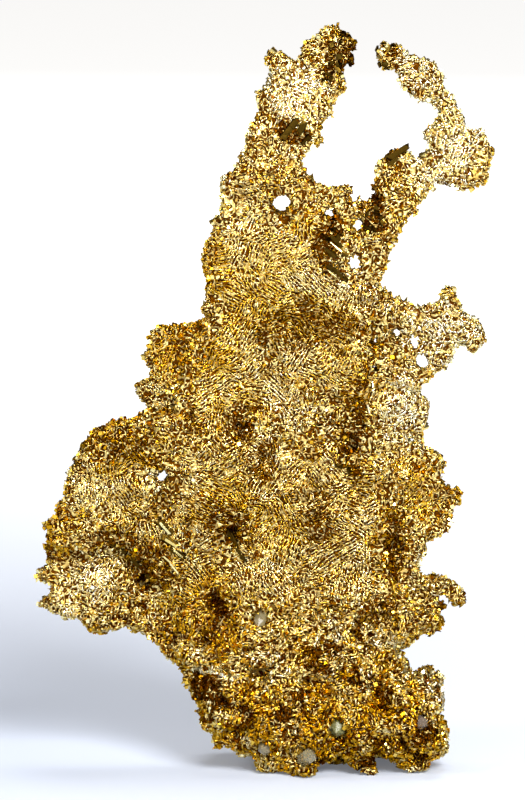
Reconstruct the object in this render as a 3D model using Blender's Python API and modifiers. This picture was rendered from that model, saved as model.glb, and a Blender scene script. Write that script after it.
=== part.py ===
"""Native gold specimen: crystalline gold leaves grown together on a spongy foot.

The leaves stand in the XZ plane and face -Y, +Z is up, and the foot rests on z = 0. Two horns rise
from the trunk and nearly meet, a hooked branch grows from its right side, and small quartz crystals
sit in pockets of the foot. Everything is drawn in millimetres and brought to metres at the end.
"""

import math
import random

import bmesh
import bpy
from mathutils import Euler, Matrix, Vector, noise
from mathutils.bvhtree import BVHTree

METRES = 0.001

TRUNK_THICKNESS = 3.4
LEAF_THICKNESS = 2.6
BRANCH_THICKNESS = 2.3

QUARTZ_GAP = 0.3
COARSE_VOXEL = 0.45
FINE_VOXEL = 0.36
LEAF_TRIANGLES = 2900
BRANCH_TRIANGLES = 1700
EDGE_CRYSTALS = 44
FACE_CRYSTALS = 28
RIB_COUNT = 64
LUMP_COUNT = 64
SHORT_EDGE = 0.03
SEED = 11

# Outlines of the leaves, (x, z) in millimetres, seen from the front.
TRUNK = [
    (-5.2, 71), (-5.2, 67.2), (-6.4, 66.7), (-6.1, 65.6), (-7, 64.6), (-7.4, 62.4), (-7.2, 60.8),
    (-6.5, 59.6), (-7.3, 56.6), (-7, 53.8), (-10.2, 49.4), (-11.4, 39.6), (-10.8, 32.4),
    (-12, 20.2), (-12.8, 14.9), (-11.4, 12.7), (-9.4, 10.6), (-4.2, 8.2), (4.2, 7), (13.8, 8.2),
    (15.6, 13), (15.8, 20.2), (15.6, 25), (16.2, 32.4), (15, 38.4), (15.6, 44.4), (14, 54.2),
    (13.2, 55.6), (10.2, 56.2), (9.9, 58), (10.3, 59.6), (10.1, 61.2), (10.4, 62.6), (10.2, 63.8),
    (10.4, 65.4), (10.8, 67), (11.4, 68), (10.6, 69), (9.2, 69.9), (8.6, 70.9), (8, 70.5),
    (6.8, 70.9), (6.8, 71.3), (4.6, 71.1), (3, 71.6), (-1.8, 71.8),
]
UPPER_LOBE = [
    (-7.8, 41.6), (-12, 44.1), (-14.2, 44.4), (-15, 43.7), (-17, 42.9), (-18, 43.1),
    (-20.5, 41.3), (-21.4, 40.5), (-22.8, 39.1), (-23.2, 38), (-23.8, 37), (-23.8, 35.6), (-24.5, 34.2),
    (-24.1, 33), (-24.8, 32.3), (-24.6, 31.1), (-26.2, 30.7), (-26.5, 29.8), (-25.6, 29),
    (-25.7, 27.8), (-24.6, 27), (-22.2, 27.2), (-19.2, 28), (-16.8, 27), (-14.4, 25), (-12.2, 22),
    (-7.8, 20.2), (-3, 20.2), (-1.8, 32.4), (-3, 39.6),
]
LOWER_LOBE = [
    (-21, 32.4), (-24.6, 30), (-25.6, 27.8), (-26.4, 27), (-26.2, 24.2), (-27.5, 23.8),
    (-27.5, 22.8), (-25.8, 22), (-25.9, 21.1), (-27.5, 20.6), (-26.9, 19.9), (-25.2, 18.8),
    (-23.6, 18.4), (-22, 18), (-21.4, 16.5), (-19.8, 16.3), (-17.4, 17), (-15.2, 16.9),
    (-13.8, 15.3), (-12, 14), (-7.8, 13.6), (-3, 17.8), (-5.4, 30),
]
SHOULDER = [
    (-3, 54), (-7, 54.2), (-8, 53.8), (-9.2, 54), (-11.6, 52.8), (-12.4, 53.4), (-13.2, 53.2),
    (-14, 51), (-14.6, 49.8), (-14.2, 48.6), (-13.6, 47.6), (-12, 46.3), (-13.2, 46.6),
    (-14.4, 46.9), (-15.5, 46.5), (-15.9, 45.6), (-15, 44.2), (-14.2, 43.8), (-12, 42), (-7.8, 39.6),
    (-1.8, 42), (-1.8, 51.8),
]
RIGHT_LEAF = [
    (11.4, 46.4), (15.8, 46.8), (18, 46.2), (19.7, 45), (19.7, 43.4), (19.5, 40.8),
    (18.9, 39.8), (19.1, 39), (21.2, 38.2), (21.1, 37.2), (22.2, 36.8), (21.8, 35.8),
    (21.1, 35.4), (20.9, 34.6), (21.7, 33.9), (24, 33.8), (23.8, 32.6), (22.5, 32.3),
    (23.6, 31.8), (23, 31), (22.9, 29.6), (22.7, 28.1), (21, 27.7), (18.8, 26.6), (18.4, 25),
    (18.6, 23.6), (19.8, 22.6), (20.5, 23.1), (22.1, 22.9), (23.6, 21.8), (24.5, 20.4),
    (24.4, 19.1), (23.4, 19.4), (22.4, 20.5), (21.2, 20.8), (20.4, 20.4), (20.9, 19.4),
    (21, 18.2), (20.4, 18.1), (19.7, 19.1), (18.4, 18.6), (18.5, 16), (18.1, 15), (16.9, 14.6),
    (14.4, 14.2), (10.2, 15), (9, 32.4),
]
HORN = [
    (-5.4, 68.8), (-5.5, 70.3), (-5, 71.2), (-4, 72), (-3.1, 73.8), (-2.4, 74.2), (-2.4, 76),
    (-1.6, 78.6), (-0.5, 81.4), (0.5, 83.5), (1.3, 84.3), (0.5, 84.9), (0.2, 85.5), (0.9, 86.2),
    (1.4, 87.1), (2.1, 86.6), (2.7, 85.4), (3.8, 85.3), (4.9, 86.9), (5.9, 87.8), (6.4, 88.9),
    (7.6, 90.0), (8.7, 89), (9.8, 88.5), (10.9, 87.9), (11.1, 87.2), (9.9, 86.9), (9.4, 86.1),
    (10.3, 86.2), (11.1, 86), (11.1, 85.4), (10.1, 85.1), (9.1, 85.1), (9.4, 83.4), (8.9, 83.6),
    (9.0, 81.7), (7.9, 80.8), (8.1, 80), (7.7, 79), (7.1, 78.1), (6.6, 75.3), (5.6, 75.5),
    (5.2, 74.6), (4.2, 74.2), (4.8, 72.2), (4.6, 70), (2.4, 68.2), (-1.8, 68.2),
]
ARM = [
    (10.2, 55.2), (10.6, 58), (10.8, 59.6), (11.2, 61.2), (11.4, 62.6), (10.8, 63.6),
    (11.2, 64.8), (12, 66.8), (11.5, 67.8), (12, 68.5), (12.7, 69.1), (13.2, 68.4), (14, 69.1),
    (13, 70.2), (12.8, 70.9), (13.6, 71.4), (13.8, 73.8), (14.8, 74.2), (15.2, 75), (16.2, 75.7),
    (16.9, 75.3), (16.7, 74.8), (17.3, 74.8), (17.8, 74.1), (18.7, 73.4), (19.2, 73.9),
    (18.9, 74.3), (19.9, 75.1), (19.3, 77), (20.1, 77.7), (20.7, 78.2), (21, 79.4), (21, 80.5),
    (20.4, 81.3), (19.3, 80.4), (18.2, 80.5), (17.7, 81.6), (16.7, 82.5), (16.4, 83.5),
    (15.4, 84.4), (15.1, 85.1), (14.5, 84.6), (14, 84.8), (13.9, 85.5), (13.3, 86.5), (13.6, 87.3),
    (14.4, 87.7), (15, 87.4), (16, 87.5), (16.8, 87), (17.2, 86.1), (18.8, 86.1), (19.8, 85.6),
    (21.1, 84.5), (21.7, 83.5), (21.8, 82.4), (22.7, 81.7), (23.4, 80.7), (23.9, 78.9),
    (24.1, 77.7), (25.6, 77.6), (26.4, 77), (26.7, 75.8), (27.1, 74), (26.8, 72.4), (26.9, 71.2),
    (25.8, 71), (24.1, 69.8), (22.2, 70.7), (21.2, 71.3), (20.1, 70.7), (18.1, 68.4), (16.9, 66.7),
    (15.1, 63.8), (14.2, 60.4), (13.8, 58.4), (14.4, 55.2),
]
HOOK = [
    (12.8, 56.8), (16, 57.1), (18.6, 56.3), (19.5, 56.9), (21.1, 56.8), (21.6, 58.1),
    (22.7, 58.7), (23, 57.8), (23.7, 56.9), (24.1, 56), (25.7, 54.7), (26.3, 53.6),
    (27.1, 52.7), (26.9, 52), (26.2, 52.1), (26.1, 51.4), (25, 50.7), (24.1, 51.3),
    (23.9, 52), (23.3, 51.9), (23.2, 51), (22.5, 50.2), (22, 49.1), (20.2, 48.2), (20, 47.4),
    (17.8, 46.5), (15.6, 45.8), (12.8, 45.8),
]
FOOT = [
    (-9.2, 12.2), (-8.7, 11.2), (-8.9, 10), (-8.4, 8.6), (-7.8, 7.8), (-7.9, 6.8), (-8, 5.4),
    (-6.8, 4.4), (-5.3, 3.7), (-3.7, 2.7), (-2, 1.8), (-0.6, 1), (1.2, 0.7), (2.6, 0.9),
    (4.2, 0.8), (5, 0.2), (6, 0.8), (7.8, 1.3), (9.6, 1.6), (11.2, 1.4), (12, 0.8), (12.8, 1.3),
    (14, 1.6), (15.6, 1.5), (17.6, 1.1), (20.2, 1.7), (21.6, 3.1), (21.8, 4.6), (21.4, 5.8),
    (21.3, 7.4), (21.5, 8.8), (21, 9.8), (21.2, 10.6), (20.8, 10.6), (20.2, 11.2), (20.3, 11.9),
    (20.1, 12.4), (19.2, 12.2), (18.3, 11.5), (17.3, 12.1), (16.3, 13.6), (13.8, 15.8),
    (7.8, 17.6), (-0.6, 17.6), (-7.8, 15.2), (-9.8, 13.4),
]

# Each leaf: outline, depth y of its middle, thickness, the (x, z) of the line that it turns about,
# its turn about Z and its lean about X in degrees. A positive turn brings its left edge forward.
LEAVES = {
    "trunk": (TRUNK, 0.0, TRUNK_THICKNESS, (2, 35), 0, 0),
    "upper_lobe": (UPPER_LOBE, -1.3, LEAF_THICKNESS, (-6, 32), 6, 2),
    "lower_lobe": (LOWER_LOBE, 0.7, LEAF_THICKNESS, (-6, 22), 2, -4),
    "shoulder": (SHOULDER, 0.7, LEAF_THICKNESS, (-5, 46), -7, 0),
    "right_leaf": (RIGHT_LEAF, 0.9, LEAF_THICKNESS, (13, 30), 6, 3),
    "horn": (HORN, 0.2, LEAF_THICKNESS, (0, 70), 0, -6),
    "arm": (ARM, 0.2, BRANCH_THICKNESS, (12, 57), 0, -2.5),
    "hook": (HOOK, 0.4, BRANCH_THICKNESS, (14, 51), -13, 0),
    "foot": (FOOT, -1.0, 4.6, (7, 8), 0, 0),
}

# Lumps of the foot: centre x, y, z, then radii x, y, z.
FOOT_LUMPS = [
    (-4.6, -4.2, 8.6, 3.1, 3.6, 4.2), (0.8, -4.8, 6.0, 3.6, 3.9, 4.6), (6.0, -5.2, 5.4, 3.6, 3.8, 4.6),
    (11.2, -5.0, 6.0, 3.5, 3.8, 4.6), (16.4, -4.6, 6.0, 3.6, 3.8, 4.4), (19.0, -2.4, 6.8, 2.4, 3.6, 4.0),
    (-4.2, 2.8, 6.8, 3.3, 4.6, 4.2), (0.6, 4.6, 5.0, 3.6, 4.2, 4.8), (6.4, 5.0, 5.4, 4.0, 4.0, 5.2),
    (12.4, 4.8, 5.2, 4.0, 4.0, 5.0), (17.4, 3.4, 5.6, 3.4, 4.2, 4.6), (-3.4, -2.2, 13.4, 4.6, 2.9, 3.6),
    (4.0, -3.0, 12.6, 4.6, 3.0, 4.0), (10.6, -2.8, 12.4, 4.2, 3.0, 3.6), (16.0, -2.0, 10.0, 3.4, 3.0, 2.5),
    (2.0, 2.6, 11.8, 4.6, 3.0, 4.2), (10.2, 2.8, 11.6, 4.4, 3.0, 4.2), (-1.6, -1.2, 20.4, 5.4, 2.1, 4.6),
    (8.6, -1.0, 19.6, 5.6, 2.1, 4.4), (19.9, -3.0, 3.9, 2.3, 3.0, 2.7),
    (-3.5, -3.2, 4.7, 2.7, 3.2, 2.6),
]

# How far the foot's front and back reach along Y at some heights: z, front, back.
FOOT_PROFILE = [(0, 6.0, 5.6), (4, 7.6, 7.0), (9, 7.0, 6.2), (14, 4.4, 3.6), (19, 2.4, 2.2), (24, 1.6, 1.6)]

# Bumps under the foot that carry it: x, y and radius. Each is cut flat at z = 0.
PADS = [
    (4.8, -6.0, 2.4), (12.0, -5.6, 1.7), (17.6, -4.2, 2.2), (0.6, -4.6, 1.8), (0.4, 5.0, 2.2),
    (4.8, 5.8, 2.1), (12.6, 5.4, 2.6), (16.6, 3.4, 1.9), (8.4, 0.6, 2.0),
]
PAD_CENTRE = 1.0
PAD_RADIUS = 1.7

# Which way the ribs run in each patch of the leaves: the patch's centre x, z, then degrees from +X.
GRAIN = [
    (8, 38, -48), (11, 28, -30), (2, 30, -58), (-4, 42, 35), (4, 50, 62), (-3, 60, 75), (5, 64, 40),
    (-11, 33, -28), (-18, 36, 20), (-21, 24, 62), (-12, 22, -40), (-2, 20, 15), (10, 18, -15),
    (19, 34, 30), (19, 22, -50), (-12, 49, 25), (1, 76, 70), (6, 84, 30), (19, 52, -10),
    (13, 62, 72), (20, 74, 48), (24, 74, 70), (14, 44, 88),
]

# Holes right through the leaves: x, z, half width, half height.
HOLES = [
    (2.0, 68.7, 1.3, 1.2), (0.5, 70.4, 0.5, 0.7), (17.8, 52.0, 0.75, 1.05), (18.9, 49.8, 0.9, 1.0),
    (15.8, 53.1, 0.7, 0.8), (13.3, 52.0, 0.6, 0.8), (13.3, 48.8, 0.5, 0.8), (-12.5, 36.0, 0.75, 1.15),
    (-11.4, 36.6, 0.45, 0.45), (17.8, 39.8, 0.6, 0.8), (-12.7, 19.4, 0.55, 0.6), (8.0, 67.5, 0.95, 0.75),
    (9.9, 56.0, 0.6, 0.5), (18.6, 82.9, 0.5, 0.5),
]

# Pits in the front: x, z, radius and how deep their centres lie behind the surface.
PITS = [
    (13.8, 11.0, 1.3, 0.2), (12.0, 13.4, 0.95, 0.2), (-5.6, 20.2, 1.25, 0.1), (15.6, 27.0, 1.1, 0.2),
    (-2.7, 41.5, 1.0, 0.2), (-5.2, 13.2, 1.0, 0.1), (-3.0, 8.6, 0.9, 0.1), (19.2, 9.4, 0.7, 0.1),
    (10.2, 39.6, 1.1, 0.4), (-14.4, 22.6, 1.1, 0.2), (-3.8, 28.8, 0.9, 0.2), (8.4, 61.2, 0.8, 0.2),
]

# The narrow slit between the trunk and the arm, as an outline.
SLIT = [
    (9.4, 55.5), (9.8, 58), (10.1, 60), (9.85, 61.6), (10.2, 63), (10.15, 64.4), (10.5, 66),
    (10.8, 68.5), (11.5, 68.3), (11.2, 65.8), (11.0, 64), (11.1, 62.4), (10.7, 61), (10.65, 59.4),
    (10.45, 57.4), (10.2, 55.5),
]

# Thin cuts where the branches part from the trunk, as outlines.
FORKS = {
    "left_horn": [(-8, 71.35), (5.6, 71.35), (7.0, 71.9), (7.0, 72.2), (5.5, 71.65), (-8, 71.65)],
    "right_arm": [
        (9.9, 57.2), (16.8, 58.1), (16.8, 58.4), (10.3, 57.55), (10.55, 60), (10.4, 61.6),
        (10.8, 63), (10.75, 64.4), (11.1, 66), (11.5, 69.8), (11.2, 69.8), (10.8, 66),
        (10.45, 64.4), (10.5, 63), (10.1, 61.6), (10.25, 60),
    ],
    "side_hook": [
        (14.0, 58.4), (14.3, 58.4), (15.0, 48.1), (21.8, 45.8), (21.7, 45.5), (14.7, 47.9),
    ],
}

# The gold's nodes, each with a spot near its middle.
NODE_SPOTS = {
    "gold_leaf": (2, 0, 30),
    "left_horn": (3, 0, 79),
    "right_arm": (19, 0, 74),
    "side_hook": (20, 0, 52),
}

# Quartz crystals in the front of the foot: x, z, radius, length, share of the length that shows,
# turn about Z and lean about X in degrees.
QUARTZ = [
    (5.4, 2.9, 0.95, 3.0, 0.34, 24, -22),
    (8.6, 5.8, 1.0, 3.0, 0.22, -10, 14),
    (-0.2, 3.6, 0.9, 2.8, 0.26, -26, -8),
    (19.0, 6.4, 0.85, 2.6, 0.24, 22, 10),
    (-0.7, 18.0, 0.7, 2.2, 0.26, -14, 30),
]

GOLD = (0.83, 0.58, 0.18)
CLEAR_QUARTZ = (0.82, 0.84, 0.78)


def clear_scene():
    for item in list(bpy.data.objects):
        bpy.data.objects.remove(item)


def collection(name):
    made = bpy.data.collections.new(name)
    bpy.context.scene.collection.children.link(made)
    return made


def add_object(name, mesh, home):
    item = bpy.data.objects.new(name, mesh)
    home.objects.link(item)
    return item


def evaluated_mesh(item):
    """A new mesh of the object as its modifiers leave it."""
    bpy.context.view_layer.update()
    graph = bpy.context.evaluated_depsgraph_get()
    return bpy.data.meshes.new_from_object(item.evaluated_get(graph), depsgraph=graph)


def bake(item):
    """Applies the object's modifiers to its own mesh."""
    old = item.data
    item.data = evaluated_mesh(item)
    item.modifiers.clear()
    bpy.data.meshes.remove(old)


def voxel_remesh(item, size):
    remesh = item.modifiers.new("Voxels", "REMESH")
    remesh.mode = "VOXEL"
    remesh.voxel_size = size
    bake(item)


def joined(name, meshes, home):
    """One object that holds all the meshes, each given with its placing matrix."""
    shape = bmesh.new()
    for mesh, place in meshes:
        held = bmesh.new()
        held.from_mesh(mesh)
        held.transform(place)
        moved = bpy.data.meshes.new("moved")
        held.to_mesh(moved)
        held.free()
        shape.from_mesh(moved)
        bpy.data.meshes.remove(moved)
    made = bpy.data.meshes.new(name)
    shape.to_mesh(made)
    shape.free()
    return add_object(name, made, home)


def slab_mesh(outline, thickness):
    """A flat outline in the XZ plane, filled and made thick along Y."""
    curve = bpy.data.curves.new("outline", "CURVE")
    curve.dimensions = "2D"
    curve.fill_mode = "BOTH"
    curve.extrude = thickness / 2
    spline = curve.splines.new("POLY")
    spline.points.add(len(outline) - 1)
    for point, (x, z) in zip(spline.points, outline):
        point.co = (x, z, 0, 1)
    spline.use_cyclic_u = True
    holder = add_object("outline", curve, bpy.context.scene.collection)
    mesh = evaluated_mesh(holder)
    bpy.data.objects.remove(holder)
    shape = bmesh.new()
    shape.from_mesh(mesh)
    bmesh.ops.remove_doubles(shape, verts=shape.verts, dist=0.001)
    bmesh.ops.rotate(shape, verts=shape.verts, matrix=Matrix.Rotation(math.radians(90), 3, "X"))
    bmesh.ops.recalc_face_normals(shape, faces=shape.faces)
    shape.to_mesh(mesh)
    shape.free()
    return mesh


def ball_mesh():
    shape = bmesh.new()
    bmesh.ops.create_uvsphere(shape, u_segments=20, v_segments=12, radius=1)
    mesh = bpy.data.meshes.new("ball")
    shape.to_mesh(mesh)
    shape.free()
    return mesh


def leaf_place(depth, pivot, turn, lean):
    """Where a leaf drawn in the XZ plane goes: turned and leaned about its pivot."""
    centre = Vector((pivot[0], 0, pivot[1]))
    turned = Euler((math.radians(lean), 0, math.radians(turn))).to_matrix().to_4x4()
    return Matrix.Translation(centre + Vector((0, depth, 0))) @ turned @ Matrix.Translation(-centre)


def placed_ball(centre, radii):
    return Matrix.Translation(centre) @ Matrix.Diagonal((*radii, 1))


def inside(outline, x, z):
    """Whether (x, z) lies inside the outline, by counting the edges to its right."""
    crossings = 0
    for (x0, z0), (x1, z1) in zip(outline, outline[1:] + outline[:1]):
        if (z0 > z) != (z1 > z) and x < x0 + (z - z0) * (x1 - x0) / (z1 - z0):
            crossings += 1
    return crossings % 2 == 1


def foot_reach(z):
    """How far the foot reaches to the front and to the back at height z."""
    for (z0, front0, back0), (z1, front1, back1) in zip(FOOT_PROFILE, FOOT_PROFILE[1:]):
        if z <= z1:
            share = (z - z0) / (z1 - z0)
            return front0 + share * (front1 - front0), back0 + share * (back1 - back0)
    return FOOT_PROFILE[-1][1:]


def small_lumps(ball):
    """Lumps of many sizes over the foot's front and back."""
    chance = random.Random(SEED + 1)
    placed = []
    while len(placed) < LUMP_COUNT:
        x, z, radius = chance.uniform(-9, 22), chance.uniform(1.5, 20), chance.uniform(1.1, 2.2)
        ring = [(x + radius * math.cos(a), z + radius * math.sin(a)) for a in (0.8, 2.4, 3.9, 5.5)]
        if not all(inside(FOOT, *spot) or spot[1] > 15 for spot in ring):
            continue
        front, back = foot_reach(z)
        y = radius * 0.7 - front if chance.random() < 0.6 else back - radius * 0.7
        radii = [radius * chance.uniform(0.8, 1.2) for _ in range(3)]
        turn = Euler([chance.uniform(0, 3) for _ in range(3)]).to_matrix().to_4x4()
        placed.append((ball, Matrix.Translation((x, y, z)) @ turn @ Matrix.Diagonal((*radii, 1))))
    return placed


def bend(x, z):
    """How far the whole sheet waves out of its plane."""
    return 1.0 * math.sin(z / 13 + 0.6) * math.sin(x / 11 + 1.1) + 0.5 * math.sin(z / 6.5 + x / 9)


def relief(point):
    """Height of the lumpy surface over the smooth one."""
    swell = noise.fractal(point / 4.2, 0.9, 2.1, 3)
    distances, _ = noise.voronoi(point / 1.9)
    grain = 0.5 - min(distances[0], 1)
    return 0.42 * swell + 0.62 * grain


def front_of(tree, x, z):
    """The first surface point that a line along +Y meets at (x, z), and its normal."""
    point, normal, _, _ = tree.ray_cast(Vector((x, -40, z)), Vector((0, 1, 0)))
    return point, normal


def tree_of(item):
    shape = bmesh.new()
    shape.from_mesh(item.data)
    tree = BVHTree.FromBMesh(shape)
    shape.free()
    return tree


def combine(item, other, operation, solver):
    boolean = item.modifiers.new("Boolean", "BOOLEAN")
    boolean.operation = operation
    boolean.solver = solver
    boolean.use_self = True
    boolean.object = other
    bake(item)


def cut(item, cutter):
    """A plain cut with a simple closed cutter. The gold has too many faces for the slower solver."""
    combine(item, cutter, "DIFFERENCE", "MANIFOLD")


def grow_sheets(home):
    """All leaves, lumps and pads run together into one lumpy body."""
    shapes = []
    for outline, depth, thickness, pivot, turn, lean in LEAVES.values():
        shapes.append((slab_mesh(outline, thickness), leaf_place(depth, pivot, turn, lean)))
    ball = ball_mesh()
    for x, y, z, *radii in FOOT_LUMPS:
        shapes.append((ball, placed_ball((x, y, z), radii)))
    shapes += small_lumps(ball)
    for x, y, radius in PADS:
        shapes.append((ball, placed_ball((x, y, PAD_CENTRE), (radius, radius, PAD_RADIUS))))
    gold = joined("gold", shapes, home)
    voxel_remesh(gold, COARSE_VOXEL)
    mesh = gold.data
    moved = []
    for vertex in mesh.vertices:
        height = relief(vertex.co)
        point = vertex.co + vertex.normal * height
        share = min(1, max(0, (point.z - 14) / 12))
        point.y += share * bend(point.x, point.z)
        moved.append(point)
    for vertex, point in zip(mesh.vertices, moved):
        vertex.co = point
    mesh.update()
    return gold


def open_holes(gold, home):
    """Cuts the holes, the slit and the pits, and evens the mesh out again."""
    ball = ball_mesh()
    tree = tree_of(gold)
    shapes = [(slab_mesh(SLIT, 16), Matrix.Identity(4))]
    for x, z, half_width, half_height in HOLES:
        ring = [(x + half_width * math.cos(a), z + half_height * math.sin(a))
                for a in (math.tau * i / 10 for i in range(10))]
        shapes.append((slab_mesh(ring, 16), Matrix.Identity(4)))
    for x, z, radius, depth in PITS:
        point, _ = front_of(tree, x, z)
        shapes.append((ball, placed_ball(point + Vector((0, depth, 0)), (radius, radius * 1.8, radius))))
    combine(gold, joined("openings", shapes, home), "DIFFERENCE", "EXACT")
    voxel_remesh(gold, FINE_VOXEL)


def on_branch(point):
    return point.z > 70 or point.x > 16.5 or (point.x > 10.2 and point.z > 55)


def thin_out(gold, wanted, triangles):
    """Draws the wanted part of the surface with fewer, larger triangles."""
    group = gold.vertex_groups.new(name="thinned")
    for vertex in gold.data.vertices:
        group.add([vertex.index], 1.0 if wanted(vertex.co) else 0.0, "REPLACE")
    gold.data.calc_loop_triangles()
    total = len(gold.data.loop_triangles)
    inside = sum(1 for face in gold.data.loop_triangles
                 if wanted(gold.data.vertices[face.vertices[0]].co))
    fewer = gold.modifiers.new("Fewer faces", "DECIMATE")
    fewer.ratio = (total - inside + triangles) / total
    fewer.vertex_group = group.name
    fewer.vertex_group_factor = 1
    fewer.use_collapse_triangulate = True
    bake(gold)
    gold.vertex_groups.clear()


def crystal_mesh(kind):
    """An octahedron, a cube or a six-sided plate of about unit radius."""
    shape = bmesh.new()
    if kind == "octahedron":
        bmesh.ops.create_uvsphere(shape, u_segments=4, v_segments=2, radius=1)
    elif kind == "cube":
        bmesh.ops.create_cube(shape, size=1.3)
    else:
        bmesh.ops.create_cone(shape, cap_ends=True, segments=6, radius1=1, radius2=0.86, depth=0.55)
    mesh = bpy.data.meshes.new(kind)
    shape.to_mesh(mesh)
    shape.free()
    return mesh


def grain_angle(x, z):
    """The direction that ribs take at (x, z), in radians from +X."""
    nearest = min(GRAIN, key=lambda patch: (patch[0] - x) ** 2 + (patch[1] - z) ** 2)
    return math.radians(nearest[2])


def spots(gold, count, apart, chance, wanted):
    """Faces to put things on, as (centre, normal): chosen by area, and no two closer than apart."""
    faces = [face for face in gold.data.polygons if wanted(face)]
    weights = [face.area for face in faces]
    found = []
    for face in chance.choices(faces, weights, k=60 * count):
        if len(found) == count:
            break
        spot = face.center.copy()
        if all((spot - other).length > apart for other, _ in found):
            found.append((spot, face.normal.copy()))
    return found


def on_rim(face):
    return abs(face.normal.y) < 0.5 and face.center.z > 3


def on_leaf_face(face):
    return abs(face.normal.y) > 0.8 and face.center.z > 17


def crystals(gold, chance):
    """Sharp crystals along the leaves' edges and over the foot."""
    kinds = [crystal_mesh(kind) for kind in ("octahedron", "octahedron", "cube", "plate")]
    on_edges = spots(gold, EDGE_CRYSTALS, 2.6, chance, on_rim)
    on_foot = spots(gold, FACE_CRYSTALS, 2.4, chance, lambda face: 3 < face.center.z < 20)
    shapes = []
    for spot, normal in on_edges + on_foot:
        size = chance.uniform(0.65, 1.15)
        spin = Euler([chance.uniform(0, math.tau) for _ in range(3)]).to_matrix().to_4x4()
        stretch = Matrix.Diagonal((size, size * chance.uniform(0.8, 1.2), size * chance.uniform(1, 1.4), 1))
        shapes.append((chance.choice(kinds), Matrix.Translation(spot + normal * size * 0.1) @ spin @ stretch))
    return shapes


def ribs(gold, chance):
    """Long narrow crystals that lie in the leaves' faces and run with the grain."""
    spindle = crystal_mesh("octahedron")
    shapes = []
    for spot, normal in spots(gold, RIB_COUNT, 2.9, chance, on_leaf_face):
        angle = grain_angle(spot.x, spot.z) + chance.uniform(-0.2, 0.2)
        along = Vector((math.cos(angle), 0, math.sin(angle)))
        along = (along - normal * along.dot(normal)).normalized()
        across = normal.cross(along)
        size = Vector((chance.uniform(1.3, 2.1), chance.uniform(0.55, 0.8), chance.uniform(0.45, 0.65)))
        turn = Matrix((along * size.x, across * size.y, normal * size.z)).transposed().to_4x4()
        shapes.append((spindle, Matrix.Translation(spot) @ turn))
    return shapes


def grown_crystals(gold, home):
    """All crystals and ribs in one mesh, to be joined with the gold."""
    chance = random.Random(SEED)
    return joined("crystals", crystals(gold, chance) + ribs(gold, chance), home)


def quartz_mesh(radius, length):
    """A six-sided prism with a point, standing on z = 0 along +Z."""
    point = 0.35 * length
    shape = bmesh.new()
    bmesh.ops.create_cone(
        shape, cap_ends=True, segments=6, radius1=radius, radius2=radius, depth=length - point,
        matrix=Matrix.Translation((0, 0, (length - point) / 2)),
    )
    top = max(shape.faces, key=lambda face: face.calc_center_median().z)
    bmesh.ops.poke(shape, faces=[top], offset=point)
    mesh = bpy.data.meshes.new("quartz")
    shape.to_mesh(mesh)
    shape.free()
    return mesh


def quartz_crystals(gold, part, cutters):
    """The quartz crystals, and one cutter with the pockets that they sit in."""
    tree = tree_of(gold)
    pockets = []
    for number, (x, z, radius, length, shown, turn, lean) in enumerate(QUARTZ, 1):
        surface, _ = front_of(tree, x, z)
        outward = Euler((math.radians(90 + lean), 0, math.radians(turn))).to_matrix().to_4x4()
        inward = Matrix.Translation((0, 0, (shown - 1) * length))
        place = Matrix.Translation(surface) @ outward @ inward
        mesh = quartz_mesh(radius, length)
        mesh.transform(place)
        crystal = add_object(f"quartz_crystal_{number}", mesh, part)
        crystal.data.materials.append(quartz_material())
        wide = quartz_mesh(radius + QUARTZ_GAP, length + 3 * QUARTZ_GAP)
        pockets.append((wide, place @ Matrix.Translation((0, 0, -QUARTZ_GAP))))
    return joined("pockets", pockets, cutters)


def box_mesh(size):
    shape = bmesh.new()
    bmesh.ops.create_cube(shape, size=1)
    mesh = bpy.data.meshes.new("box")
    shape.to_mesh(mesh)
    shape.free()
    mesh.transform(Matrix.Diagonal((*size, 1)))
    return mesh


def cut_forks(gold, home):
    """Parts the branches from the trunk, and cuts the foot flat along the ground."""
    for name, outline in FORKS.items():
        cut(gold, joined("cut at " + name, [(slab_mesh(outline, 24), Matrix.Identity(4))], home))
    ground = [(box_mesh((90, 60, 10)), Matrix.Translation((0, 0, -5)))]
    cut(gold, joined("ground", ground, home))


def signed_volume(shape, faces):
    total = 0.0
    for face in faces:
        corners = [vertex.co for vertex in face.verts]
        for i in range(1, len(corners) - 1):
            total += corners[0].dot(corners[i].cross(corners[i + 1])) / 6
    return total


def neighbours(vertex):
    return {edge.other_vert(vertex) for edge in vertex.link_edges}


def tidy(shape):
    """Draws the ends of hair-short edges together, wherever that leaves the surface closed."""
    bmesh.ops.triangulate(shape, faces=shape.faces)
    for _ in range(4):
        touched, merged = set(), {}
        for edge in shape.edges:
            first, second = edge.verts
            around, beyond = neighbours(first), neighbours(second)
            busy = (around | beyond) & touched
            if edge.calc_length() < SHORT_EDGE and not busy and len(around & beyond) == 2:
                merged[first] = second
                touched |= around | beyond
        bmesh.ops.weld_verts(shape, targetmap=merged)


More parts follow.
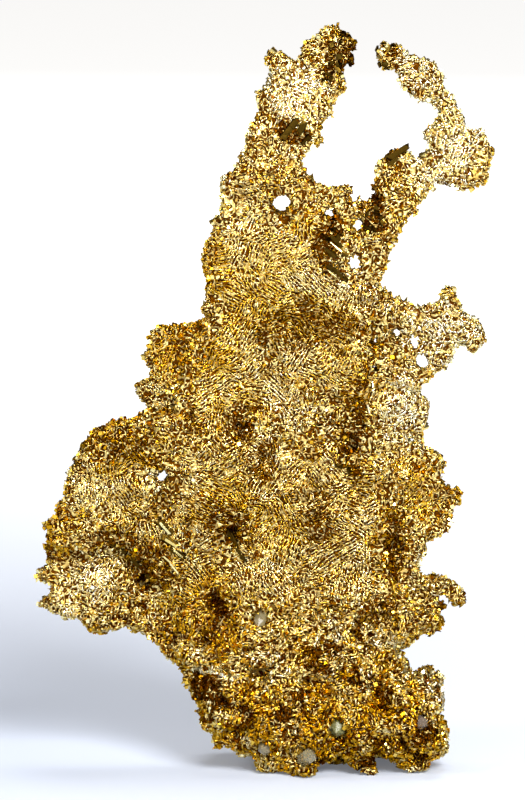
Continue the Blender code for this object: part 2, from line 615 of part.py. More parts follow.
def loose_bodies(mesh):
    """The mesh's separate closed shells as (volume, centre, mesh), the largest first."""
    shape = bmesh.new()
    shape.from_mesh(mesh)
    shape.faces.ensure_lookup_table()
    seen, found = set(), []
    for start in shape.faces:
        if start.index in seen:
            continue
        stack, shell = [start], []
        seen.add(start.index)
        while stack:
            face = stack.pop()
            shell.append(face)
            for edge in face.edges:
                for other in edge.link_faces:
                    if other.index not in seen:
                        seen.add(other.index)
                        stack.append(other)
        volume = signed_volume(shape, shell)
        corners = {vertex for face in shell for vertex in face.verts}
        centre = sum((vertex.co for vertex in corners), Vector()) / len(corners)
        found.append((volume, centre, {face.index for face in shell}))
    shape.free()
    found.sort(key=lambda entry: -entry[0])
    bodies = []
    for volume, centre, kept in found:
        body = bmesh.new()
        body.from_mesh(mesh)
        body.faces.ensure_lookup_table()
        bmesh.ops.delete(body, geom=[f for f in body.faces if f.index not in kept], context="FACES")
        tidy(body)
        copy = bpy.data.meshes.new("body")
        body.to_mesh(copy)
        body.free()
        bodies.append((volume, centre, copy))
    return bodies


def principled(name, colour, metallic, roughness):
    material = bpy.data.materials.get(name)
    if material:
        return material
    material = bpy.data.materials.new(name)
    material.use_nodes = True
    shader = material.node_tree.nodes["Principled BSDF"]
    shader.inputs["Base Color"].default_value = (*colour, 1)
    shader.inputs["Metallic"].default_value = metallic
    shader.inputs["Roughness"].default_value = roughness
    return material


def gold_material():
    return principled("native gold", GOLD, 1.0, 0.32)


def quartz_material():
    material = principled("clear quartz", CLEAR_QUARTZ, 0.0, 0.08)
    shader = material.node_tree.nodes["Principled BSDF"]
    shader.inputs["Transmission Weight"].default_value = 1.0
    shader.inputs["IOR"].default_value = 1.544
    return material


def split_at_forks(gold, part):
    """Makes each branch of the cut gold its own node, and leaves crumbs behind."""
    bodies = loose_bodies(gold.data)
    for name, spot in NODE_SPOTS.items():
        body = min(bodies[: len(NODE_SPOTS)], key=lambda body: (body[1] - Vector(spot)).length)
        node = add_object(name, body[2].copy(), part)
        node.data.materials.append(gold_material())
    bpy.data.objects.remove(gold)


def stand_on_origin(part, cutters):
    """Brings everything to metres, centred over the origin with its lowest point on z = 0."""
    corners = [vertex.co for item in part.objects for vertex in item.data.vertices]
    middle = [(min(c[i] for c in corners) + max(c[i] for c in corners)) / 2 for i in range(2)]
    place = Matrix.Scale(METRES, 4) @ Matrix.Translation((-middle[0], -middle[1], 0))
    for item in list(part.objects) + list(cutters.objects):
        item.data.transform(place)


def hide_helpers(cutters):
    for item in cutters.objects:
        item.hide_render = True
        item.display_type = "WIRE"


def main():
    clear_scene()
    part = collection("native gold specimen")
    cutters = collection("cutters")
    gold = grow_sheets(cutters)
    open_holes(gold, cutters)
    thin_out(gold, on_branch, BRANCH_TRIANGLES)
    thin_out(gold, lambda point: not on_branch(point), LEAF_TRIANGLES)
    combine(gold, grown_crystals(gold, cutters), "UNION", "EXACT")
    cut_forks(gold, cutters)
    cut(gold, quartz_crystals(gold, part, cutters))
    split_at_forks(gold, part)
    stand_on_origin(part, cutters)
    hide_helpers(cutters)


main()
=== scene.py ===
"""Looks of the native gold specimen: crystal ridges, grains, quartz, studio and camera.

The gold nodes are replaced by closed skins of the same form in gold that is browned in its hollows,
partly as staining and partly as painted shade. On them grow
thousands of joined crystals: narrow ridges that follow the grain of the leaves or curl over the
foot and the edges, blunt grains, blunt crystals along the rims, and some dark plates and blades.
Lengths are in millimetres until a mesh is finished, and are then brought to metres.
"""

import math

import bmesh
import bpy
import numpy as np
from mathutils import Matrix, Vector
from mathutils.bvhtree import BVHTree


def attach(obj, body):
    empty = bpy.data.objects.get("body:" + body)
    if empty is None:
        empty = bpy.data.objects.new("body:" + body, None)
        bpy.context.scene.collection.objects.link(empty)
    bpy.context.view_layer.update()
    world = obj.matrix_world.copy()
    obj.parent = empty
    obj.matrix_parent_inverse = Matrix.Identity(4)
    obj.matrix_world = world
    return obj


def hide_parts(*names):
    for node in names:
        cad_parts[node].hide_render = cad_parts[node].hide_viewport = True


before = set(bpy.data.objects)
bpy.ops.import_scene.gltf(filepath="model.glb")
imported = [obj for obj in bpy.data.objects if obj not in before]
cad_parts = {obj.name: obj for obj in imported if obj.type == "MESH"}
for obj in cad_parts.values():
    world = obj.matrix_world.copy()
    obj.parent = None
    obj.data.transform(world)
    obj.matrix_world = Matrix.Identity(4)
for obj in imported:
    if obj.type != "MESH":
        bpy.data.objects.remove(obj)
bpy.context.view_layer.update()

MM = 0.001
SEED = 7

# Fineness of the skins, and how many spots for crystals are tried on each square millimetre.
VOXEL = 0.33
SPOTS = 45

GOLD_NODES = ("gold_leaf", "left_horn", "right_arm", "side_hook")

# Sections of the gold, each a closed skin of its own: lowest and highest z.
SECTIONS = {
    "foot_skin": (-1.0, 20.2),
    "lobe_skin": (19.8, 42.2),
    "upper_skin": (41.8, 95.0),
}

# Most crystals of each kind, and of the ridges in each piece.
LEAF_RIDGES = 12500
CURLED_RIDGES = 16000
GRAINS = 6500
NUBS = 2400

# Ridges: the cell in which only one starts, then limits of their length, half width and height.
LEAF_RIDGE = (0.29, (0.6, 1.35), (0.11, 0.15), (0.15, 0.26))
CURLED_RIDGE = (0.29, (0.5, 1.0), (0.11, 0.165), (0.16, 0.29))
FOOT_RIDGE = (0.31, (0.6, 1.3), (0.12, 0.18), (0.17, 0.30))

# Heights at which the leaf ridges and the curled ridges are parted into two pieces.
LEAF_SPLIT = 37
CURL_SPLIT = 24

# Limits of the sizes of the other crystals.
GRAIN_SIZE = (0.14, 0.28)
GRAIN_STRETCH = (0.8, 1.4)
NUB_LENGTH = (0.30, 0.68)
NUB_WIDTH = (0.19, 0.39)
PLATE_SIZE = (0.38, 0.68)
BLADE_THICKNESS = 0.35

# The cell in which only one of them starts.
GRAIN_CELL = 0.62
NUB_CELL = 0.8
PLATE_CELL = 0.9

# How close to a cut between two skins a flat spot belongs to the cut.
CUT_MARGIN = 0.45

# Lowest height of a spot, a ridge's corner, a grain and a rim crystal.
LOWEST_SPOT = 0.35
LOWEST_RIDGE = 0.02
LOWEST_GRAIN = 0.55
LOWEST_NUB = 1.5

# How deep a ridge's base lies in the skin, and how far other crystals stand out of it.
ROOT_DEPTH = 0.14
GRAIN_LIFT = 0.12
NUB_LIFT = 0.16
PLATE_LIFT = 0.3
BRIGHT_LIFT = 0.34
DARK_LIFT = 0.12

# Heights between which the foot's share falls from 1 to 0, by what depends on it.
FOOT_HOLLOWS = (15, 20)
FOOT_RELIEF = (14, 24)
FOOT_COLOUR = (14, 20)
FOOT_SIZES = (12, 22)
FOOT_CLEARING = (16, 20)
LOWER_HALF = (42, 52)

# Which way the ridges run in each patch of the leaves: centre x, z and degrees from +X.
GRAIN = [
    (8, 38, -48), (11, 28, -30), (2, 30, -58), (-4, 42, 35), (4, 50, 62), (-3, 60, 75), (5, 64, 40),
    (-11, 33, -28), (-18, 36, 20), (-21, 24, 62), (-12, 22, -40), (-2, 20, 15), (10, 18, -15),
    (19, 34, 30), (19, 22, -50), (-12, 49, 25), (1, 76, 70), (6, 84, 30), (19, 52, -10),
    (13, 62, 72), (20, 74, 48), (24, 74, 70), (14, 44, 88),
]

# Size of the turned patches, distance of straight ridges, and size and turns of the curled ones.
PATCH_SIZE = 3.1
RIDGE_PITCH = 0.39
CURL_SIZE = 1.15
CURL_TURNS = 15.0

# How steep a field has to be at a ridge, and how far a spot may be moved onto a crest.
LEAST_SLOPE = 6
CREST_REACH = 0.17

# Brown patches: centre x, z, half width, half height and strength.
BROWN_PATCHES = [
    (3.2, 77.2, 1.6, 1.4, 1.0), (13.4, 67.8, 1.5, 2.6, 0.9), (15.3, 73.6, 1.3, 1.8, 0.5),
    (15.1, 86.4, 1.5, 1.1, 0.7), (9.0, 85.7, 2.0, 2.0, 0.7), (5.4, 53.9, 8.6, 2.9, 0.45),
    (-3.1, 43.5, 2.4, 2.6, 0.7), (-17.6, 39.6, 4.4, 1.8, 0.45), (-4.6, 29.8, 3.4, 3.0, 0.5),
    (10.9, 41.4, 1.6, 8.4, 0.5), (-13.8, 24.6, 3.0, 3.4, 0.5), (-17.0, 28.1, 2.9, 1.2, 0.4),
    (-5.8, 19.8, 1.2, 1.7, 1.0), (-7.4, 10.3, 2.2, 2.2, 0.9), (14.4, 9.9, 1.3, 1.2, 1.0),
    (12.0, 12.0, 1.3, 1.0, 0.8), (7.0, 14.2, 3.2, 1.7, 0.8), (15.3, 27.0, 2.0, 4.4, 0.5),
    (19.8, 4.8, 1.5, 1.6, 0.9), (6.1, 29.9, 2.4, 3.2, 0.35), (-2.9, 8.0, 1.2, 1.4, 0.9),
    (2.2, 7.4, 0.9, 1.3, 0.9), (7.0, 1.4, 1.6, 0.9, 0.8), (0.5, 2.6, 0.9, 0.8, 0.9),
    (7.8, 64.6, 1.7, 2.8, 0.8), (-3.0, 5.0, 1.4, 1.6, 0.7), (4.6, 9.0, 1.6, 1.2, 0.7),
    (-12.0, 33.0, 1.2, 2.4, 0.4), (0.6, 38.0, 1.4, 2.2, 0.45), (12.6, 3.0, 1.6, 1.4, 0.8),
]

# Warm orange patches, in the same way.
WARM_PATCHES = [
    (-8.8, 50.3, 5.6, 4.4, 1.0), (-7.4, 19.0, 5.4, 5.4, 1.0), (-17.6, 39.6, 5.0, 2.8, 1.0),
    (19.2, 32.0, 4.0, 4.0, 0.7), (15.3, 27.0, 2.6, 5.0, 0.8), (6.5, 5.0, 15.5, 9.0, 0.85),
    (-5.8, 61.0, 2.0, 4.6, 0.7), (-4.3, 31.4, 4.0, 5.0, 0.8), (-3.1, 43.5, 3.4, 3.6, 1.0),
    (-25.0, 29.6, 2.8, 3.4, 0.9), (10.0, 51.0, 4.0, 3.0, 0.4), (4.6, 67.2, 2.0, 1.3, 0.5),
    (10.9, 41.4, 2.2, 8.4, 0.6), (2.4, 55.4, 8.0, 2.8, 0.6), (2.0, 30.0, 3.0, 3.4, 0.6),
    (-13.8, 24.6, 3.4, 4.0, 0.6),
]

# Bright yellow patches, in the same way.
GOLDEN_PATCHES = [
    (0.4, 61.4, 4.6, 4.4, 1.0), (0.8, 71.1, 2.9, 3.4, 0.6), (-12.0, 46.5, 3.0, 2.4, 0.5),
    (-9.6, 16.6, 3.4, 2.4, 0.6), (18.0, 36.5, 3.0, 2.4, 0.4), (3.0, 18.0, 3.4, 2.0, 0.6),
    (10.0, 4.6, 4.0, 2.4, 0.6), (-1.0, 6.0, 3.0, 2.4, 0.5),
]

# Pale greenish patches, in the same way.
PALE_PATCHES = [
    (3.7, 82.3, 3.9, 4.8, 1.0), (21.9, 77.4, 5.1, 7.8, 1.0), (20.2, 53.2, 5.8, 3.9, 0.95),
    (3.7, 44.5, 3.2, 3.2, 0.5), (17.0, 43.5, 2.8, 6.8, 0.85), (-20.0, 34.3, 4.1, 3.4, 0.3),
    (-22.5, 22.2, 4.1, 4.4, 0.45), (19.0, 84.0, 3.0, 3.0, 0.9), (9.0, 62.0, 1.6, 4.0, 0.4),
    (-13.6, 35.6, 1.6, 1.8, 0.7), (12.0, 44.0, 1.2, 3.4, 0.5), (18.4, 24.6, 2.4, 3.0, 0.5),
]

# The largest holes through the leaves, kept clear of grains: centre x, z, half width and height.
HOLES = [
    (2.0, 68.7, 1.3, 1.2), (17.8, 52.0, 0.75, 1.05), (18.9, 49.8, 0.9, 1.0), (15.8, 53.1, 0.7, 0.8),
    (-12.5, 36.0, 0.75, 1.15),
]
HOLE_EDGE = 0.55

# Groups of large dark plates: centre x, z, spread and number.
PLATES = [
    (9.4, 86.6, 2.0, 18), (8.0, 83.6, 1.4, 6), (14.6, 86.2, 1.4, 9),
    (8.0, 64.2, 1.6, 6), (12.8, 67.0, 1.5, 8), (10.2, 37.6, 1.4, 3),
]

# Single long blades: centre x, z, length, width and degrees from +X.
DARK_BLADES = [
    (3.0, 77.6, 2.6, 0.8, 50), (4.2, 77.4, 2.2, 0.7, 60), (4.9, 76.4, 1.4, 0.5, 55),
    # The four blades from (-19.0, 27.6) to (-14.4, 23.6) are dark strips laid along the line of
    # shade under a ledge of the lobe: painted shade.
    (16.0, 74.7, 2.6, 0.7, 34), (15.2, 73.7, 1.6, 0.5, 40), (-19.0, 27.6, 1.8, 0.35, -30),
    (-17.4, 26.6, 1.9, 0.4, -38), (-15.8, 25.2, 1.9, 0.4, -46), (-14.4, 23.6, 1.8, 0.35, -50),
    (-4.6, 29.4, 2.4, 0.35, -62), (-3.7, 28.0, 2.2, 0.35, -60), (-2.8, 26.4, 2.0, 0.35, -58),
    (-12.0, 29.7, 2.3, 0.7, -40), (-11.4, 27.9, 2.3, 0.75, -34), (-10.6, 26.5, 2.0, 0.65, -38),
    (8.5, 64.2, 1.9, 0.45, -42), (8.0, 63.0, 1.7, 0.4, -40), (9.3, 63.0, 1.5, 0.4, -46),
    (7.8, 61.1, 1.7, 0.5, -38), (8.8, 60.6, 1.6, 0.5, -44), (9.6, 60.0, 1.2, 0.4, -50),
]
BRIGHT_BLADES = [
    (-12.0, 29.8, 2.0, 0.30, -46), (-11.4, 28.0, 1.8, 0.32, -34), (-10.6, 26.6, 2.0, 0.26, -38),
    (-11.8, 26.0, 1.3, 0.2, -42), (-10.8, 24.6, 1.4, 0.2, -50), (22.0, 79.0, 2.6, 0.12, -60),
    (22.7, 79.2, 2.4, 0.12, -68), (21.4, 78.2, 2.2, 0.12, -74), (13.0, 46.6, 1.4, 0.16, -80),
    (13.6, 45.2, 1.4, 0.16, 68), (12.4, 44.2, 1.2, 0.16, -75), (14.4, 43.6, 1.2, 0.16, 80),
    (8.3, 63.6, 1.6, 0.12, -42), (8.2, 60.4, 1.5, 0.12, -40),
]

# The dark brown serves as staining and as painted shade at the ridges' bases and in the hollows.
STAIN_AND_SHADE = (0.095, 0.027, 0.0004)
AMBER = (0.40, 0.20, 0.003)
DARK_GOLD = (0.56, 0.28, 0.006)
DEEP_GOLD = (0.82, 0.54, 0.06)
MID_GOLD = (0.96, 0.83, 0.35)
PALE_GOLD = (0.98, 0.95, 0.72)
DARK_OLIVE = (0.038, 0.020, 0.002)
OLIVE = (0.17, 0.105, 0.014)
BLACKENED = (0.03, 0.011, 0.001)

# Colours that the gold takes on where it is seen at a glancing angle.
GOLD_EDGE = (0.80, 0.60, 0.17)
STAIN_EDGE = (0.5, 0.3, 0.06)
OLIVE_EDGE = (0.24, 0.15, 0.04)

# Limits of the roughness of the crystals, and the roughness of the ground under them.
BRIGHT_GLOSS = (0.12, 0.28)
SATIN_GLOSS = (0.28, 0.44)
OLIVE_GLOSS = (0.25, 0.45)
STAIN_ROUGHNESS = 0.36

# The skins' relief: size of the lumps, and how far waves, lumps and hollows move the surface.
LUMP_SIZE = 1.15
WAVES, RIM_WAVES = 0.17, 0.28
LUMPS, FOOT_LUMPS = 0.12, 0.28
HOLLOW_DEPTH = 1.0
SUNK, FOOT_SUNK = 0.26, 0.1

# Blocks across the slits: number for each square millimetre, greatest gap, size and its spread.
BRIDGES = 9
BRIDGE_REACH = 0.6
BRIDGE_SIZE, BRIDGE_SPREAD = 0.42, 0.25

# Large odd numbers that scatter the noise's cells.
SCATTER = (374761393, 668265263, 3266489917)
SCATTER_SEED = 1274126177
SCATTER_AGAIN = 2246822519
WORD = 2 ** 32


# Noise, worked out for many points at once

def lattice(cells, seed):
    """A number from 0 to 1 for each whole-number cell."""
    x, y, z = (cells[..., i].astype(np.uint32) * np.uint32(SCATTER[i]) for i in range(3))
    mixed = x + y + z + np.uint32((seed * SCATTER_SEED) % WORD)
    mixed = (mixed ^ (mixed >> np.uint32(13))) * np.uint32(SCATTER_SEED)
    mixed = (mixed ^ (mixed >> np.uint32(15))) * np.uint32(SCATTER_AGAIN)
    return (mixed ^ (mixed >> np.uint32(16))).astype(np.float64) / (WORD - 1)


def smooth_noise(points, scale, seed):
    """Smooth noise from -1 to 1 with features of about the given size."""
    scaled = points / scale
    base = np.floor(scaled).astype(np.int64)
    part = scaled - base
    part = part * part * part * (part * (part * 6 - 15) + 10)
    total = np.zeros(len(points))
    for corner in np.ndindex(2, 2, 2):
        offset = np.array(corner)
        weight = np.prod(np.where(offset, part, 1 - part), axis=1)
        total += weight * lattice(base + offset, seed)
    return total * 2 - 1


def nearest_cells(points, scale, seed):
    """Distances to the nearest two of some scattered points, and the nearest one's cell."""
    scaled = points / scale
    base = np.floor(scaled).astype(np.int64)
    first = np.full(len(points), 9.0)
    second = np.full(len(points), 9.0)
    owner = np.zeros((len(points), 3), dtype=np.int64)
    for step in np.ndindex(3, 3, 3):
        cell = base + np.array(step) - 1
        spot = np.stack([lattice(cell, seed + 17 * i) for i in range(3)], axis=1)
        away = np.linalg.norm(cell + spot - scaled, axis=1)
        nearer = away < first
        second = np.where(nearer, first, np.minimum(second, away))
        first = np.where(nearer, away, first)
        owner[nearer] = cell[nearer]
    return first, second, owner


def smooth_step(low, high, values):
    share = np.clip((values - low) / (high - low), 0, 1)
    return share * share * (3 - 2 * share)


def between(limits, share):
    """Values from the lower limit to the upper one."""
    return limits[0] + (limits[1] - limits[0]) * share


def patch_share(points, patches):
    """How strongly each point lies in any of the patches, with ragged borders."""
    ragged = points[:, [0, 2]]
    for reach, size, seed in ((1.3, 2.4, 21), (0.7, 0.9, 23)):
        sway = [smooth_noise(points, size, seed + i) for i in range(2)]
        ragged = ragged + reach * np.stack(sway, axis=1)
    share = np.zeros(len(points))
    for x, z, half_width, half_height, strength in patches:
        away = np.hypot((ragged[:, 0] - x) / half_width, (ragged[:, 1] - z) / half_height)
        share = np.maximum(share, strength * (1 - smooth_step(0.55, 1.25, away)))
    return share


def foot_share(points, low, high):
    """1 at the foot, falling to 0 between the two heights."""
    return 1 - smooth_step(low, high, points[:, 2])


def near_holes(points):
    """Which points lie in a hole or close to its edge, with a ragged border."""
    near = np.zeros(len(points), dtype=bool)
    border = 1 + 0.35 * smooth_noise(points, 0.8, 95)
    for x, z, half_width, half_height in HOLES:
        across = (points[:, 0] - x) / (half_width + HOLE_EDGE)
        up = (points[:, 2] - z) / (half_height + HOLE_EDGE)
        near |= np.hypot(across, up) < border
    return near


def cavities(points):
    """How deep each point of the foot lies in one of its hollows, from 0 to 1."""
    hollow = smooth_noise(points, 2.3, 87) + 0.4 * smooth_noise(points, 1.0, 88)
    return smooth_step(0.12, 0.62, hollow) * foot_share(points, *FOOT_HOLLOWS)


def unit(vectors):
    return vectors / np.maximum(np.linalg.norm(vectors, axis=1), 1e-9)[:, None]


def in_surface(vectors, normals):
    """The vectors without their parts along the normals."""
    return vectors - normals * (vectors * normals).sum(axis=1)[:, None]


# The fields that the ridges follow: a ridge runs along each line where its field is a whole turn

def grain_angles(points):
    """Direction of the ridges at each point, in radians from +X.

    Small patches are turned by 60 or 90 degrees against the main direction.
    """
    flat = points * np.array([1, 0, 1])
    sway_x, sway_z = smooth_noise(flat, 2.6, 31), smooth_noise(flat, 2.6, 32)
    sway = np.stack([sway_x, np.zeros(len(flat)), sway_z], axis=1)
    _, _, owner = nearest_cells(flat + sway, PATCH_SIZE, 41)
    seeds = np.array(GRAIN, dtype=float)
    away = ((points[:, None, [0, 2]] - seeds[None, :, :2]) ** 2).sum(axis=2)
    base = seeds[away.argmin(axis=1), 2]
    turns = np.floor(lattice(owner, 51) * 4.999).astype(int)
    extra = np.array([0, 0, 60, -60, 90])[turns] + 30 * (lattice(owner, 52) - 0.5)
    return np.radians(base + extra)


def leaf_field(points, angle):
    """Ridges along the given direction, calm in some places and wavy in others."""
    across = points[:, 0] * np.sin(angle) - points[:, 2] * np.cos(angle)
    wobble = 3.3 * smooth_noise(points, 0.9, 61) + 3.2 * smooth_noise(points, 2.2, 62)
    calm = smooth_step(-0.15, 0.25, smooth_noise(points, 4.5, 66))
    return math.tau * across / RIDGE_PITCH + wobble * (1 - 0.72 * calm)


def curl_field(points, angle):
    """Curled ridges. They follow no direction, so the angle isn't used."""
    return CURL_TURNS * smooth_noise(points, CURL_SIZE, 64) + 3.0 * smooth_noise(points, 0.8, 65)


def slope_of(field, points, angle, normals):
    """The field's value and its slope in the surface."""
    step = 0.04
    here = field(points, angle)
    rises = [field(points + step * axis, angle) - here for axis in np.eye(3)]
    return here, in_surface(np.stack([rise / step for rise in rises], axis=1), normals)


def granular_share(points, rim_distance):
    """How far each point has curled ridges and grains rather than long ridges."""
    patchy = smooth_noise(points, 5.0, 71)
    edges = 1 - smooth_step(1.0, 3.6, rim_distance + 1.2 * patchy)
    foot = 1 - smooth_step(17.0, 25.0, points[:, 2] + 3 * patchy)
    branch = np.where((points[:, 2] > 70) | (points[:, 0] > 15), 0.5, 0.0)
    lobe = smooth_step(-12, -20, points[:, 0]) * 0.4
    scattered = smooth_step(0.25, 0.6, patchy) * 0.8
    return np.clip(np.maximum.reduce([edges, foot, branch, lobe, scattered]), 0, 1)


# Mesh helpers

def add_object(name, data):
    item = bpy.data.objects.new(name, data)
    bpy.context.scene.collection.objects.link(item)
    return item


def bake(item):
    """Replaces an object's mesh with what its modifiers make of it."""
    bpy.context.view_layer.update()
    graph = bpy.context.evaluated_depsgraph_get()
    old = item.data
    item.data = bpy.data.meshes.new_from_object(item.evaluated_get(graph), depsgraph=graph)
    item.modifiers.clear()
    bpy.data.meshes.remove(old)


def mesh_of(name, points, triangles):
    mesh = bpy.data.meshes.new(name)
    mesh.vertices.add(len(points))
    mesh.vertices.foreach_set("co", points.astype(np.float32).ravel())
    mesh.loops.add(triangles.size)
    mesh.loops.foreach_set("vertex_index", triangles.astype(np.int32).ravel())
    mesh.polygons.add(len(triangles))
    mesh.polygons.foreach_set("loop_start", np.arange(0, triangles.size, 3, dtype=np.int32))
    mesh.update(calc_edges=True)
    return mesh


def points_of(mesh, kept="co"):
    """The places of a mesh's corners, or another vector that is kept at each of them."""
    flat = np.empty(len(mesh.vertices) * 3, dtype=np.float32)
    mesh.vertices.foreach_get(kept, flat)
    return flat.reshape(-1, 3).astype(np.float64)


def normals_of(mesh):
    return points_of(mesh, "normal")


def spots_on(mesh, density, chance):
    """Random points on a mesh, so many for each square unit, with their smooth normals."""
    mesh.calc_loop_triangles()
    corners = np.empty(len(mesh.loop_triangles) * 3, dtype=np.int32)
    mesh.loop_triangles.foreach_get("vertices", corners)
    corners = corners.reshape(-1, 3)
    points, normals = points_of(mesh), normals_of(mesh)
    a, b, c = (points[corners[:, i]] for i in range(3))
    area = np.linalg.norm(np.cross(b - a, c - a), axis=1) / 2
    number = np.floor(area * density + chance.random(len(area))).astype(int)
    owner = np.repeat(np.arange(len(area)), number)
    shares = chance.dirichlet((1, 1, 1), len(owner))
    places = np.einsum("ni,nij->nj", shares, points[corners[owner]])
    return places, unit(np.einsum("ni,nij->nj", shares, normals[corners[owner]]))


def put_values(mesh, name, values):
    attribute = mesh.attributes.new(name, "FLOAT", "POINT")
    attribute.data.foreach_set("value", values.astype(np.float32))


def mesh_from(shape, name):
    """Turns a bmesh into a mesh and frees it."""
    mesh = bpy.data.meshes.new(name)
    shape.to_mesh(mesh)
    shape.free()
    return mesh


def node_copy(name):
    """A copy of a CAD node's mesh in millimetres, with its faces joined at their edges."""
    shape = bmesh.new()
    shape.from_mesh(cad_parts[name].data)
    bmesh.ops.scale(shape, vec=Vector((1 / MM, 1 / MM, 1 / MM)), verts=shape.verts)
    bmesh.ops.remove_doubles(shape, verts=shape.verts, dist=0.0005)
    return mesh_from(shape, name)


def box_mesh(low, high):
    shape = bmesh.new()
    bmesh.ops.create_cube(shape, size=1)
    size = Vector(high) - Vector(low)
    middle = (Vector(high) + Vector(low)) / 2
    shape.transform(Matrix.Translation(middle) @ Matrix.Diagonal((*size, 1)))
    return mesh_from(shape, "box")


def section_of(mesh, low, high):
    """The part of a closed mesh between two heights, closed again."""
    item = add_object("section", mesh)
    limits = add_object("limits", box_mesh((-60, -30, low), (60, 30, high)))
    keep = item.modifiers.new("Keep", "BOOLEAN")
    keep.operation = "INTERSECT"
    keep.solver = "MANIFOLD"
    keep.object = limits
    bake(item)
    made = item.data
    bpy.data.objects.remove(item)
    bpy.data.objects.remove(limits)
    return made


def joined_mesh(meshes):
    shape = bmesh.new()
    for mesh in meshes:
        shape.from_mesh(mesh)
    return mesh_from(shape, "joined")


def octahedron():
    points = [(1, 0, 0), (-1, 0, 0), (0, 1, 0), (0, -1, 0), (0, 0, 1), (0, 0, -1)]
    upper = [(0, 2, 4), (2, 1, 4), (1, 3, 4), (3, 0, 4)]
    lower = [(2, 0, 5), (1, 2, 5), (3, 1, 5), (0, 3, 5)]
    return np.array(points, dtype=float), np.array(upper + lower)


BLOCK_SIDE = 1.3


def block():
    corners = np.array(list(np.ndindex(2, 2, 2)), dtype=float) * BLOCK_SIDE - BLOCK_SIDE / 2
    quads = [(0, 1, 3, 2), (4, 6, 7, 5), (0, 4, 5, 1), (2, 3, 7, 6), (0, 2, 6, 4), (1, 5, 7, 3)]
    return corners, np.array([t for a, b, c, d in quads for t in ((a, b, c), (a, c, d))])


def random_turns(chance, count):
    """Random rotations as an array of matrices."""
    q = chance.normal(size=(count, 4))
    q /= np.linalg.norm(q, axis=1)[:, None]
    w, x, y, z = q.T
    rows = [
        [1 - 2 * (y * y + z * z), 2 * (x * y - w * z), 2 * (x * z + w * y)],
        [2 * (x * y + w * z), 1 - 2 * (x * x + z * z), 2 * (y * z - w * x)],
        [2 * (x * z - w * y), 2 * (y * z + w * x), 1 - 2 * (x * x + y * y)],
    ]
    return np.moveaxis(np.array(rows), 2, 0)


def broken_block(chance, count, unevenness=0.22):
    """Corners of uneven blocks, as an array of blocks by corners by 3, and their triangles."""
    corners, triangles = block()
    return corners + unevenness * chance.normal(size=(count, len(corners), 3)), triangles


def placed_copies(points, axes, places):
    """Corners of copies of one shape, or of one shape for each copy.

    axes holds each copy's three scaled axes as columns.
    """
    sums = "nij,pj->npi" if points.ndim == 2 else "nij,npj->npi"
    return np.einsum(sums, axes, points) + places[:, None, :]


def mesh_of_copies(name, corners, triangles):
    """One mesh of many copies: corners is an array of copies by corners by 3."""
    count, size, _ = corners.shape
    shifted = triangles[None] + (np.arange(count) * size)[:, None, None]
    return mesh_of(name, corners.reshape(-1, 3), shifted.reshape(-1, 3))


def crowd(name, corners, triangles, tones, browns):
    """One object of many crystals, with their tones and browns.

    browns holds a number for each crystal or for each of its corners.
    """
    count, size, _ = corners.shape
    mesh = mesh_of_copies(name, corners, triangles)
    put_values(mesh, "tone", np.repeat(tones, size))
    put_values(mesh, "brown", np.broadcast_to(browns.reshape(count, -1), (count, size)).ravel())
    return add_object(name, mesh)


def flat_crowd(*parts):
    """The same with flat faces."""
    item = crowd(*parts)
    item.data.shade_flat()
    return item


def two_shapes(name, places, axes, tones, browns):
    """The first half of the crystals as octahedra and the others as blocks, in two objects."""
    half = len(places) // 2
    parts = {"octahedra": (octahedron(), slice(half)), "blocks": (block(), slice(half, None))}
    made = []
    for kind, ((points, triangles), part) in parts.items():
        corners = placed_copies(points, axes[part], places[part])
        made.append(flat_crowd(f"{name}_{kind}", corners, triangles, tones[part], browns[part]))
    return made


# The skins under the crystals

def fork_bridges(chance):
    """Places and axes of small blocks across the slits between the gold nodes."""
    trees, shapes = {}, {}
    for name in GOLD_NODES:
        shape = bmesh.new()
        shape.from_mesh(node_copy(name))
        bmesh.ops.triangulate(shape, faces=shape.faces)
        shapes[name] = shape
        trees[name] = BVHTree.FromBMesh(shape)
    places = []
    for name, shape in shapes.items():
        others = [tree for other, tree in trees.items() if other != name]
        for face in shape.faces:
            corners = [vertex.co for vertex in face.verts]
            for _ in range(int(face.calc_area() * BRIDGES) + 1):
                a, b = sorted(chance.random(2))
                spot = corners[0] * a + corners[1] * (b - a) + corners[2] * (1 - b)
                for tree in others:
                    near = tree.find_nearest(spot, BRIDGE_REACH)[0]
                    if near is not None:
                        places.append((spot + near) / 2)
        shape.free()
    places = np.array([tuple(place) for place in places])
    turns = random_turns(chance, len(places))
    sizes = BRIDGE_SIZE + BRIDGE_SPREAD * chance.random(len(places))
    return places, turns * sizes[:, None, None]


def bridge_mesh(places, axes, low, high):
    chosen = (places[:, 2] > low + 0.5) & (places[:, 2] < high - 0.5)
    corners, triangles = block()
    placed = placed_copies(corners, axes[chosen], places[chosen])
    return mesh_of_copies("bridges", placed, triangles)


